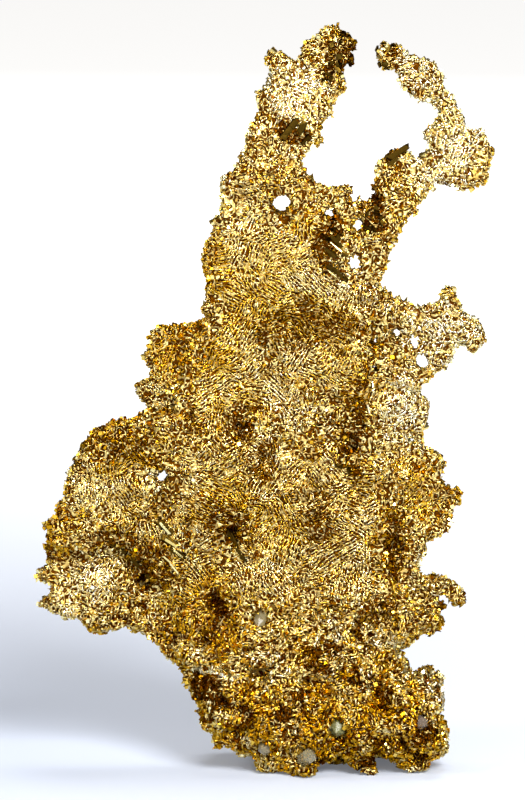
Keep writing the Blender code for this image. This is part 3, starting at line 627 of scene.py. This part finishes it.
def relief_skin(name, mesh):
    """A closed skin of the mesh's form with lumps and grains, in millimetres."""
    item = add_object(name, mesh)
    remesh = item.modifiers.new("Voxels", "REMESH")
    remesh.mode = "VOXEL"
    remesh.voxel_size = VOXEL
    bake(item)
    mesh = item.data
    points, normals = points_of(mesh), normals_of(mesh)
    first, second, _ = nearest_cells(points, LUMP_SIZE, 82)
    grain = np.clip(1 - 1.15 * first ** 2, 0, 1) * smooth_step(0.0, 0.2, second - first)
    foot = foot_share(points, *FOOT_RELIEF)
    rim = 1 - smooth_step(0.35, 0.75, np.abs(normals[:, 1]))
    height = WAVES * smooth_noise(points, 1.7, 83) + (LUMPS + FOOT_LUMPS * foot) * grain
    height = height - HOLLOW_DEPTH * cavities(points)
    height += RIM_WAVES * rim * smooth_noise(points, 1.3, 86)
    moved = points + normals * (height - SUNK - FOOT_SUNK * foot)[:, None]
    moved[:, 2] = np.maximum(moved[:, 2], 0.0)
    mesh.vertices.foreach_set("co", moved.astype(np.float32).ravel())
    mesh.update()
    put_values(mesh, "tone", 0.32 + 0.25 * smooth_noise(points, 1.1, 84) + 0.2 * grain)
    # Brown: staining by noise and patches, painted shade in the foot's hollows, less in the pale
    # patches.
    stained_and_shaded = 0.1 + 0.25 * smooth_noise(points, 0.9, 85) + 0.5 * patch_share(points, BROWN_PATCHES)
    stained_and_shaded += 0.6 * cavities(points) - 0.4 * patch_share(points, PALE_PATCHES)
    put_values(mesh, "brown", stained_and_shaded)
    return item


def nodes_between(low, high):
    names = []
    for name in GOLD_NODES:
        heights = points_of(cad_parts[name].data)[:, 2] / MM
        if min(heights) < high and max(heights) > low:
            names.append(name)
    return names


def build_skins(chance):
    """The skins by name, and which nodes each stands for."""
    places, axes = fork_bridges(chance)
    skins, covered = {}, {}
    for name, (low, high) in SECTIONS.items():
        covered[name] = nodes_between(low, high)
        parts = [section_of(node_copy(node), low, high) for node in covered[name]]
        if len(covered[name]) > 1:
            parts.append(bridge_mesh(places, axes, low, high))
        skins[name] = relief_skin(name, joined_mesh(parts))
    return skins, covered


class Ground:
    """Points all over the skins at which crystals can grow."""

    def __init__(self, skins, chance):
        points, normals = [], []
        for name, skin in skins.items():
            low, high = SECTIONS[name]
            place, normal = spots_on(skin.data, SPOTS, chance)
            to_cut = np.minimum(np.abs(place[:, 2] - low), np.abs(place[:, 2] - high))
            on_cut = (to_cut < CUT_MARGIN) & (np.abs(normal[:, 2]) > 0.7)
            wanted = ~on_cut & (place[:, 2] > LOWEST_SPOT)
            points.append(place[wanted])
            normals.append(normal[wanted])
        self.points = np.concatenate(points)
        self.normals = np.concatenate(normals)
        self.granular = granular_share(self.points, self.rim_distances())
        self.open = ~near_holes(self.points)

    def rim_distances(self):
        """How far each point of a leaf is from its rim, in whole cells and up to a few of them."""
        cell, steps = 0.8, 6
        cells = np.floor(self.points / cell).astype(int)
        where = cells - cells.min(axis=0) + steps
        grid = np.zeros(where.max(axis=0) + steps + 1, dtype=bool)
        grid[tuple(where[np.abs(self.normals[:, 1]) < 0.4].T)] = True
        distance = np.full(len(self.points), steps * cell)
        for step in range(steps):
            hit = grid[tuple(where.T)] & (distance > step * cell)
            distance[hit] = step * cell
            grid = spread(grid)
        return distance


def spread(grid):
    """The grid's filled cells grown by one cell to each side."""
    wider = grid.copy()
    for axis in range(3):
        wider |= np.roll(grid, 1, axis) | np.roll(grid, -1, axis)
    return wider


def cell_numbers(points, cell):
    """One whole number for the cell that each point lies in."""
    most = 8192
    x, y, z = (np.floor(points / cell).astype(np.int64) + most // 2).T
    return (x * most + y) * most + z


def thinned(points, cell, chance):
    """Indexes of points of which no two share a cell, in random order."""
    order = chance.permutation(len(points))
    _, first = np.unique(cell_numbers(points[order], cell), return_index=True)
    return chance.permutation(order[first])


# Crystals

def looks_at(chance, places, brightness):
    """Tone and brownness of crystals at the given places: by patch, by noise and by chance, and
    browner in the foot's hollows as painted shade.
    """
    wide = smooth_noise(places, 4.2, 91)
    pale = patch_share(places, PALE_PATCHES)
    warm = patch_share(places, WARM_PATCHES)
    brown = patch_share(places, BROWN_PATCHES)
    golden = patch_share(places, GOLDEN_PATCHES)
    tones = 0.48 + brightness + 0.15 * wide + 0.42 * pale - 0.46 * warm - 0.14 * golden
    low = foot_share(places, *LOWER_HALF)
    foot = foot_share(places, *FOOT_COLOUR)
    stained_and_shaded = 0.3 * smooth_step(0.3, 0.7, smooth_noise(places, 2.2, 92)) + 1.35 * brown
    # The crystals in the foot's hollows are browned as painted shade.
    stained_and_shaded += 0.15 * low - 0.5 * foot * (1 - brown) + 0.95 * cavities(places)
    stained_and_shaded += 0.6 * foot * smooth_noise(places, 1.6, 93)
    tones = tones + foot * (0.06 + 0.45 * smooth_noise(places, 2.0, 94))
    stained_and_shaded -= 0.45 * golden + 0.15 * warm + 0.36 * pale
    tones = tones + 0.17 * chance.normal(size=len(places))
    browns = stained_and_shaded + 0.22 * chance.normal(size=len(places)) - 0.12
    return np.clip(tones, 0, 1), np.clip(browns, 0, 1)


def crests(field, chance, places, normals, angle, cell):
    """Spots moved onto the field's crests, with the direction that a ridge takes there."""
    here, slope = slope_of(field, places, angle, normals)
    steep = (slope ** 2).sum(axis=1)
    off = (here + math.pi) % math.tau - math.pi
    far = np.abs(off) / np.sqrt(np.maximum(steep, 1e-9))
    good = (steep > LEAST_SLOPE) & (far < CREST_REACH)
    shift = -slope * (off / np.maximum(steep, 1e-9))[:, None]
    moved = (places + shift)[good]
    kept = np.flatnonzero(good)
    chosen = thinned(moved, cell, chance)
    kept = kept[chosen]
    along = unit(np.cross(normals[kept], slope[kept]))
    return moved[chosen], normals[kept], along, kept


def spine_of(field, places, normals, along, angle, lengths):
    """Four points of each ridge's back: it follows the field's crest to both sides."""
    spine = [None] * 4
    for side in (-1, 1):
        near = places + along * (side * lengths / 6)[:, None]
        _, slope = slope_of(field, near, angle, normals)
        turned = unit(np.cross(normals, slope))
        agrees = (turned * along).sum(axis=1) > 0.3
        turned = np.where(agrees[:, None], turned, along)
        far = near + turned * (side * lengths / 3)[:, None]
        spine[1 if side < 0 else 2] = near
        spine[0 if side < 0 else 3] = far
    return spine


# A ridge has a corner at each end and two rings between them, of a base corner, one on its back
# and another base corner. The base is darkened brown, partly as staining and partly as painted
# shade between the ridges, and the back is left clean.
RIDGE_STAIN_AND_SHADE = np.array([0.3, 1.0, 0.0, 1.0, 1.0, 0.0, 1.0, 0.3])
RIDGE_TRIANGLES = np.array([
    (0, 1, 2), (0, 2, 3), (0, 3, 1),
    (1, 4, 5), (1, 5, 2), (2, 5, 6), (2, 6, 3), (3, 6, 4), (3, 4, 1),
    (7, 5, 4), (7, 6, 5), (7, 4, 6),
])


def ridge_corners(chance, spine, normals, along, widths, heights):
    """Corners of narrow roof-shaped crystals along their spines."""
    count = len(widths)
    along = unit(along + 0.12 * chance.normal(size=(count, 3)))
    across = np.cross(normals, along)
    rings = []
    for middle in spine[1:3]:
        lean = (0.5 * widths * chance.normal(size=count))[:, None]
        size = (0.8 + 0.4 * chance.random(count))[:, None]
        base = middle - normals * ROOT_DEPTH
        rings += [
            base + across * widths[:, None] * size,
            middle + normals * heights[:, None] * size + across * lean * 0.6,
            base - across * widths[:, None] * size,
        ]
    ends = []
    for end in (spine[0], spine[3]):
        lift = heights * chance.uniform(-0.3, 0.5, count)
        ends.append(end + normals * lift[:, None])
    return np.stack([ends[0], *rings, ends[1]], axis=1)


def grow_ridges(name, field, ground, chance, wanted, most, sizes):
    """Ridges along the crests of a field, as one object of at most so many crystals."""
    cell, lengths, widths, heights = sizes
    angle = grain_angles(ground.points[wanted])
    places, normals, along, kept = crests(
        field, chance, ground.points[wanted], ground.normals[wanted], angle, cell)
    places, normals, along = places[:most], normals[:most], along[:most]
    angle = angle[kept[:most]]
    count = len(places)
    larger = 1 + 0.3 * foot_share(places, *FOOT_SIZES)
    length = between(lengths, chance.random(count) ** 1.3)
    width = between(widths, chance.random(count)) * larger
    height = between(heights, chance.random(count)) * larger
    spine = spine_of(field, places, normals, along, angle, length)
    corners = ridge_corners(chance, spine, normals, along, width, height)
    corners[:, :, 2] = np.maximum(corners[:, :, 2], LOWEST_RIDGE)
    tones, browns = looks_at(chance, places, 0.04)
    # Each ridge's base corners are browned: staining, and painted shade where the ridges meet; less
    # in the pale patches.
    stain_and_shade = (1 - 0.45 * patch_share(places, PALE_PATCHES))[:, None] * RIDGE_STAIN_AND_SHADE
    return crowd(name, corners, RIDGE_TRIANGLES, tones, browns[:, None] + stain_and_shade)


def grow_grains(ground, chance):
    """Blunt grains over the curled ground, larger on the foot."""
    left_out = 0.7 * foot_share(ground.points, *FOOT_CLEARING)
    kept = chance.random(len(ground.points)) >= left_out
    wanted = np.flatnonzero((ground.granular > 0.35) & ground.open & kept)
    chosen = wanted[thinned(ground.points[wanted], GRAIN_CELL, chance)][:GRAINS]
    places, normals = ground.points[chosen], ground.normals[chosen]
    count = len(places)
    larger = 1 + 0.1 * foot_share(places, *FOOT_SIZES)
    sizes = between(GRAIN_SIZE, chance.random(count) ** 2) * larger
    axes = random_turns(chance, count) * sizes[:, None, None]
    axes = axes * between(GRAIN_STRETCH, chance.random((count, 1, 3)))
    places = places + normals * (GRAIN_LIFT + 0.2 * sizes)[:, None]
    places[:, 2] = np.maximum(places[:, 2], LOWEST_GRAIN)
    tones, browns = looks_at(chance, places, -0.08)
    return two_shapes("grains", places, axes, tones, browns)


def axes_of(first, second, third, long, wide, thick):
    """Three directions for each crystal, scaled by its three sizes, as the columns of a matrix."""
    return np.stack([first * long[:, None], second * wide[:, None], third * thick[:, None]], axis=2)


def grow_nubs(ground, chance):
    """Blunt crystals that stand out from the rims."""
    upright = np.abs(ground.normals[:, 1]) < 0.5
    wanted = np.flatnonzero(upright & ground.open & (ground.points[:, 2] > LOWEST_NUB))
    chosen = wanted[thinned(ground.points[wanted], NUB_CELL, chance)][:NUBS]
    places, normals = ground.points[chosen], ground.normals[chosen]
    count = len(places)
    out = unit(normals + 0.55 * chance.normal(size=(count, 3)))
    side = unit(np.cross(out, chance.normal(size=(count, 3))))
    length = between(NUB_LENGTH, chance.random(count) ** 1.6)
    width = between(NUB_WIDTH, chance.random(count))
    depth = width * between((0.7, 1.3), chance.random(count))
    axes = axes_of(out, side, np.cross(out, side), length, width, depth)
    tones, browns = looks_at(chance, places, -0.02)
    return two_shapes("rim", places + out * NUB_LIFT, axes, tones, browns)


def grow_plates(ground, chance):
    """Large dark uneven plates in loose groups."""
    places, normals = [], []
    for x, z, spread_out, number in PLATES:
        away = np.hypot(ground.points[:, 0] - x, ground.points[:, 2] - z)
        near = np.flatnonzero((away < spread_out) & (ground.normals[:, 1] < 0.6))
        chosen = near[thinned(ground.points[near], PLATE_CELL, chance)][:number]
        places.append(ground.points[chosen])
        normals.append(ground.normals[chosen])
    places, normals = np.concatenate(places), np.concatenate(normals)
    count = len(places)
    up = unit(normals + 0.5 * chance.normal(size=(count, 3)))
    side = unit(np.cross(up, chance.normal(size=(count, 3))))
    size = between(PLATE_SIZE, chance.random(count))
    width = size * chance.uniform(0.5, 0.8, count)
    thickness = size * chance.uniform(0.25, 0.5, count)
    axes = axes_of(side, np.cross(up, side), up, size, width, thickness)
    shapes, triangles = broken_block(chance, count)
    corners = placed_copies(shapes, axes, places + normals * PLATE_LIFT)
    tones = chance.random(count) ** 2
    browns = 0.4 * chance.random(count)
    return flat_crowd("dark_plates", corners, triangles, tones, browns)


def grow_blades(name, table, tone, lift, ground, chance):
    """The single long blades, laid on the face that the camera sees."""
    table, count = np.array(table), len(table)
    front = np.flatnonzero(ground.normals[:, 1] < -0.4)
    away = ((ground.points[front][None, :, [0, 2]] - table[:, None, :2]) ** 2).sum(axis=2)
    places = ground.points[front[away.argmin(axis=1)]]
    turn = np.radians(table[:, 4])
    out = unit(np.array([0.0, -1.0, 0.0]) + 0.2 * chance.normal(size=(count, 3)))
    level = np.stack([np.cos(turn), np.zeros(count), np.sin(turn)], axis=1)
    along = unit(in_surface(level, out))
    length, width = table[:, 2] / BLOCK_SIDE, table[:, 3] / BLOCK_SIDE
    thickness = np.full(count, BLADE_THICKNESS)
    axes = axes_of(along, np.cross(out, along), out, length, width, thickness)
    shapes, triangles = broken_block(chance, count, 0.1)
    corners = placed_copies(shapes, axes, places + out * lift)
    tones = tone * between((0.7, 1.3), chance.random(count))
    return flat_crowd(name, corners, triangles, tones, np.zeros(count))


# Materials, with lengths in metres and scales in features for each metre

FINE_SCALE = 1500
FACET_SCALE, FACET_BUMP = 4200, 0.00005
WINDING_SCALE, WINDING_TURNS, WINDING_BUMP = 1050, 27.0, 0.0001
CLOUD_SCALE, CLOUD_BUMP = 900, 0.00008
QUARTZ_IOR = 1.544


def new_material(name):
    material = bpy.data.materials.new(name)
    material.use_nodes = True
    return material, material.node_tree.nodes, material.node_tree.links


def object_place(nodes):
    return nodes.new("ShaderNodeTexCoord").outputs["Object"]


def attribute_value(nodes, name):
    node = nodes.new("ShaderNodeAttribute")
    node.attribute_name = name
    return node.outputs["Fac"]


def add_bump(nodes, links, shader, height, strength, distance):
    """Fine relief on a shader, from a height that varies over the surface."""
    bump = nodes.new("ShaderNodeBump")
    bump.inputs["Strength"].default_value = strength
    bump.inputs["Distance"].default_value = distance
    links.new(height, bump.inputs["Height"])
    links.new(bump.outputs["Normal"], shader.inputs["Normal"])


def noise_node(nodes, links, place, scale, detail=2.0):
    node = nodes.new("ShaderNodeTexNoise")
    node.inputs["Scale"].default_value = scale
    node.inputs["Detail"].default_value = detail
    links.new(place, node.inputs["Vector"])
    return node.outputs["Fac"]


def ramp_node(nodes, links, value, stops):
    node = nodes.new("ShaderNodeValToRGB")
    ramp = node.color_ramp
    while len(ramp.elements) < len(stops):
        ramp.elements.new(0.5)
    for element, (position, colour) in zip(ramp.elements, stops):
        element.position = position
        element.color = (*colour, 1)
    links.new(value, node.inputs["Fac"])
    return node.outputs["Color"]


def feed(links, socket, value):
    """Links another socket to this one, or sets this one to a colour or a number."""
    if isinstance(value, bpy.types.NodeSocket):
        links.new(value, socket)
    else:
        socket.default_value = (*value, 1) if isinstance(value, tuple) else value


def mix_node(nodes, links, share, first, second):
    node = nodes.new("ShaderNodeMix")
    node.data_type = "RGBA"
    for index, value in ((0, share), (6, first), (7, second)):
        feed(links, node.inputs[index], value)
    return node.outputs[2]


def range_node(nodes, links, value, low, high, from_low=0.0, from_high=1.0):
    node = nodes.new("ShaderNodeMapRange")
    links.new(value, node.inputs["Value"])
    node.inputs["From Min"].default_value = from_low
    node.inputs["From Max"].default_value = from_high
    node.inputs["To Min"].default_value = low
    node.inputs["To Max"].default_value = high
    return node.outputs["Result"]


def math_node(nodes, links, operation, first, second, third=0.0):
    node = nodes.new("ShaderNodeMath")
    node.operation = operation
    for index, value in enumerate((first, second, third)):
        feed(links, node.inputs[index], value)
    return node.outputs[0]


def metal_material(name, tones, flank, stain_and_shade, edge, roughness):
    """Gold whose tone and brown are kept at each corner, with fine noise added. The brown is
    staining, and painted shade where it is kept at the ridges' bases and in the hollows.

    It passes through the flank colour from the clean gold to the dark brown.
    """
    material, nodes, links = new_material(name)
    shader = nodes["Principled BSDF"]
    place = object_place(nodes)
    tone = attribute_value(nodes, "tone")
    brown = attribute_value(nodes, "brown")
    fine = noise_node(nodes, links, place, FINE_SCALE)
    clean = ramp_node(nodes, links, tone, tones)
    depth = math_node(nodes, links, "MULTIPLY_ADD", fine, 0.7, brown)
    warmth = range_node(nodes, links, depth, 0.0, 1.0, 0.42, 0.85)
    warmed = mix_node(nodes, links, warmth, clean, flank)
    share = range_node(nodes, links, depth, 0.0, 1.0, 0.7, 1.2)
    links.new(mix_node(nodes, links, share, warmed, stain_and_shade), shader.inputs["Base Color"])
    shader.inputs["Metallic"].default_value = 1.0
    shader.inputs["Specular Tint"].default_value = (*edge, 1)
    links.new(range_node(nodes, links, fine, *roughness, 0.3, 0.7), shader.inputs["Roughness"])
    facets = nodes.new("ShaderNodeTexVoronoi")
    facets.inputs["Scale"].default_value = FACET_SCALE
    links.new(place, facets.inputs["Vector"])
    add_bump(nodes, links, shader, facets.outputs["Distance"], 0.3, FACET_BUMP)
    return material


def crystal_gold(name, roughness):
    tones = [(0.0, DARK_GOLD), (0.28, DEEP_GOLD), (0.55, MID_GOLD), (1.0, PALE_GOLD)]
    return metal_material(name, tones, AMBER, STAIN_AND_SHADE, GOLD_EDGE, roughness)


def olive_gold():
    tones = [(0.0, DARK_OLIVE), (1.0, OLIVE)]
    return metal_material("tarnished_gold", tones, DARK_OLIVE, BLACKENED, OLIVE_EDGE, OLIVE_GLOSS)


def stained_and_shaded_gold():
    """The ground under the crystals: fine winding ridges of gold, their hollows dark brown as
    staining and as painted shade.
    """
    material, nodes, links = new_material("stained_and_shaded_gold")
    shader = nodes["Principled BSDF"]
    tone = attribute_value(nodes, "tone")
    brown = attribute_value(nodes, "brown")
    winding = noise_node(nodes, links, object_place(nodes), WINDING_SCALE, 1.0)
    turn = math_node(nodes, links, "MULTIPLY", winding, WINDING_TURNS)
    crest = math_node(nodes, links, "SINE", turn, 0.0)
    clean = ramp_node(nodes, links, tone, [(0.0, DARK_GOLD), (0.7, MID_GOLD)])
    # Where the winding crest is low or the brown is high, the ground goes to dark brown: staining,
    # and painted shade in the pattern's hollows.
    above = math_node(nodes, links, "SUBTRACT", crest, brown)
    share = range_node(nodes, links, above, 1.0, 0.0, -0.5, 0.7)
    links.new(mix_node(nodes, links, share, clean, STAIN_AND_SHADE), shader.inputs["Base Color"])
    shader.inputs["Metallic"].default_value = 1.0
    shader.inputs["Specular Tint"].default_value = (*STAIN_EDGE, 1)
    shader.inputs["Roughness"].default_value = STAIN_ROUGHNESS
    add_bump(nodes, links, shader, crest, 1.0, WINDING_BUMP)
    return material


def quartz_material(name, tint, roughness, clearness):
    material, nodes, links = new_material(name)
    shader = nodes["Principled BSDF"]
    shader.inputs["Base Color"].default_value = (*tint, 1)
    shader.inputs["Transmission Weight"].default_value = clearness
    shader.inputs["IOR"].default_value = QUARTZ_IOR
    clouds = noise_node(nodes, links, object_place(nodes), CLOUD_SCALE, 3.0)
    rough = range_node(nodes, links, clouds, roughness * 0.5, roughness * 1.6)
    links.new(rough, shader.inputs["Roughness"])
    add_bump(nodes, links, shader, clouds, 0.2, CLOUD_BUMP)
    return material


# The paper: middle of its bluish part, which is darker as painted shadow, where its colour changes,
# both colours and their glow.
PAPER_MIDDLE = (-0.09, 0.01, 0.0)
PAPER_FADE = (0.06, 0.42)
PAPER_NEAR = (0.543, 0.593, 0.705)
PAPER_FAR = (0.90, 0.91, 0.93)
PAPER_GLOW = (0.10, 0.95)


def floor_material():
    """Pale paper: bluish and darker around a middle left of the specimen as painted shadow, glowing
    white further away.
    """
    material, nodes, links = new_material("studio_paper")
    shader = nodes["Principled BSDF"]
    distance = nodes.new("ShaderNodeVectorMath")
    distance.operation = "DISTANCE"
    links.new(object_place(nodes), distance.inputs[0])
    distance.inputs[1].default_value = PAPER_MIDDLE
    # Near the middle the paper is darker and bluish: painted shadow of the specimen.
    far = range_node(nodes, links, distance.outputs["Value"], 0.0, 1.0, *PAPER_FADE)
    colour = ramp_node(nodes, links, far, [(0.0, PAPER_NEAR), (1.0, PAPER_FAR)])
    links.new(colour, shader.inputs["Base Color"])
    links.new(colour, shader.inputs["Emission Color"])
    links.new(range_node(nodes, links, far, *PAPER_GLOW), shader.inputs["Emission Strength"])
    shader.inputs["Roughness"].default_value = 0.9
    shader.inputs["Specular IOR Level"].default_value = 0.05
    return material


# Studio, in metres

PAPER_RINGS = (0.3, 1.0, 6.0)
PAPER_SIDES = 48

WORLD_COLOUR = (1.0, 0.68, 0.12)
WORLD_STRENGTH = 0.07
LIGHT_TARGET = (0, 0, 0.045)

# Area lights: name, place, width and height, and power in watts.
LIGHTS = [
    ("key", (0.20, -0.45, 0.36), (0.24, 0.24), 4.9),
    ("left", (-0.42, -0.20, 0.30), (0.08, 0.24), 1.1),
    ("top", (0.05, 0.10, 0.6), (0.3, 0.2), 1.6),
    ("front", (-0.10, -0.90, 0.35), (0.9, 0.5), 2.35),
    ("back", (0.10, 0.90, 0.45), (0.9, 0.5), 2.0),
]


def studio_paper():
    """A wide round floor. The camera looks down on it, so it fills the background as well."""
    turns = [math.tau * i / PAPER_SIDES for i in range(PAPER_SIDES)]
    points = [(0.0, 0.0, 0.0)]
    for radius in PAPER_RINGS:
        points += [(radius * math.cos(turn), radius * math.sin(turn), 0.0) for turn in turns]
    triangles = [(0, 1 + i, 1 + (i + 1) % PAPER_SIDES) for i in range(PAPER_SIDES)]
    for ring in range(len(PAPER_RINGS) - 1):
        start = 1 + ring * PAPER_SIDES
        for i in range(PAPER_SIDES):
            a, b = start + i, start + (i + 1) % PAPER_SIDES
            triangles += [(a, a + PAPER_SIDES, b + PAPER_SIDES), (a, b + PAPER_SIDES, b)]
    mesh = mesh_of("studio_paper", np.array(points), np.array(triangles))
    paper = add_object("studio_paper", mesh)
    paper.data.materials.append(floor_material())


def area_light(name, place, size, power):
    light = bpy.data.lights.new(name, "AREA")
    light.shape = "RECTANGLE"
    light.size, light.size_y = size
    light.energy = power
    item = add_object(name, light)
    item.location = place
    towards = Vector(LIGHT_TARGET) - Vector(place)
    item.rotation_euler = towards.to_track_quat("-Z", "Y").to_euler()


def studio_light():
    world = bpy.data.worlds.new("studio")
    bpy.context.scene.world = world
    world.use_nodes = True
    background = world.node_tree.nodes["Background"]
    background.inputs["Color"].default_value = (*WORLD_COLOUR, 1)
    background.inputs["Strength"].default_value = WORLD_STRENGTH
    for light in LIGHTS:
        area_light(*light)


CAMERA_ELEVATION = 8.0
CAMERA_DISTANCE = 0.62
CAMERA_TARGET = (-0.0003, 0.0, 0.0448)
CAMERA_LENS = 231.4
SENSOR_HEIGHT = 36
CLIP_START = 0.01


def camera():
    data = bpy.data.cameras.new("camera")
    item = add_object("camera", data)
    bpy.context.scene.camera = item
    data.sensor_fit = "VERTICAL"
    data.sensor_height = SENSOR_HEIGHT
    data.lens = CAMERA_LENS
    lift = math.radians(CAMERA_ELEVATION)
    back = Vector((0, -math.cos(lift), math.sin(lift)))
    item.location = Vector(CAMERA_TARGET) + back * CAMERA_DISTANCE
    item.rotation_euler = (-back).to_track_quat("-Z", "Y").to_euler()
    data.clip_start = CLIP_START


# Putting it together

def finish_piece(item, material, *nodes):
    """Brings a piece to metres, dresses it and ties it to the part."""
    item.data.transform(Matrix.Scale(MM, 4))
    item.data.materials.append(material)
    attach(item, "root")
    if nodes:
        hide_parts(*nodes)


def grow_all_ridges(ground, chance):
    """The straight ridges of the leaves and the curled ones, each in an upper and a lower piece."""
    curled = chance.random(len(ground.points)) < smooth_step(0.3, 0.6, ground.granular)
    high = ground.points[:, 2] > LEAF_SPLIT
    raised = ground.points[:, 2] > CURL_SPLIT
    leaf, curl = (leaf_field, LEAF_RIDGES), (curl_field, CURLED_RIDGES)
    pieces = [
        ("upper_leaf_ridges", leaf, ~curled & high, LEAF_RIDGE),
        ("lower_leaf_ridges", leaf, ~curled & ~high, LEAF_RIDGE),
        ("curled_ridges", curl, curled & raised, CURLED_RIDGE),
        ("foot_ridges", curl, curled & ~raised, FOOT_RIDGE),
    ]
    return [
        grow_ridges(name, field, ground, chance, wanted, most, sizes)
        for name, (field, most), wanted, sizes in pieces
    ]


def build_gold():
    chance = np.random.default_rng(SEED)
    skins, covered = build_skins(chance)
    ground = Ground(skins, chance)
    grown = [*grow_all_ridges(ground, chance), *grow_grains(ground, chance)]
    grown += grow_nubs(ground, chance)
    grown.append(grow_blades("bright_blades", BRIGHT_BLADES, 0.62, BRIGHT_LIFT, ground, chance))
    plates = [grow_plates(ground, chance)]
    plates.append(grow_blades("dark_blades", DARK_BLADES, 0.1, DARK_LIFT, ground, chance))
    dull, tarnished = stained_and_shaded_gold(), olive_gold()
    bright = crystal_gold("native_gold", BRIGHT_GLOSS)
    satin = crystal_gold("satin_gold", SATIN_GLOSS)
    for name, skin in skins.items():
        finish_piece(skin, dull, *covered[name])
    for item in grown:
        finish_piece(item, satin if item.name == "foot_ridges" else bright)
    for item in plates:
        finish_piece(item, tarnished)


# Looks of the quartz: material, tint, roughness and how much light passes through.
QUARTZ = {
    "quartz_crystal_1": ("clear_quartz", (0.72, 0.66, 0.42), 0.12, 0.75),
    "quartz_crystal_2": ("greenish_quartz", (0.40, 0.40, 0.17), 0.3, 0.6),
    "quartz_crystal_3": ("milky_quartz", (0.50, 0.42, 0.24), 0.3, 0.6),
    "quartz_crystal_4": ("smoky_quartz", (0.36, 0.28, 0.22), 0.12, 0.6),
    "quartz_crystal_5": ("grey_quartz", (0.44, 0.37, 0.20), 0.3, 0.6),
}


def dress_quartz():
    for name, look in QUARTZ.items():
        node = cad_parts[name]
        node.data.materials.clear()
        node.data.materials.append(quartz_material(*look))


build_gold()
dress_quartz()
studio_paper()
studio_light()
camera()

bpy.context.scene.view_settings.view_transform = "Standard"
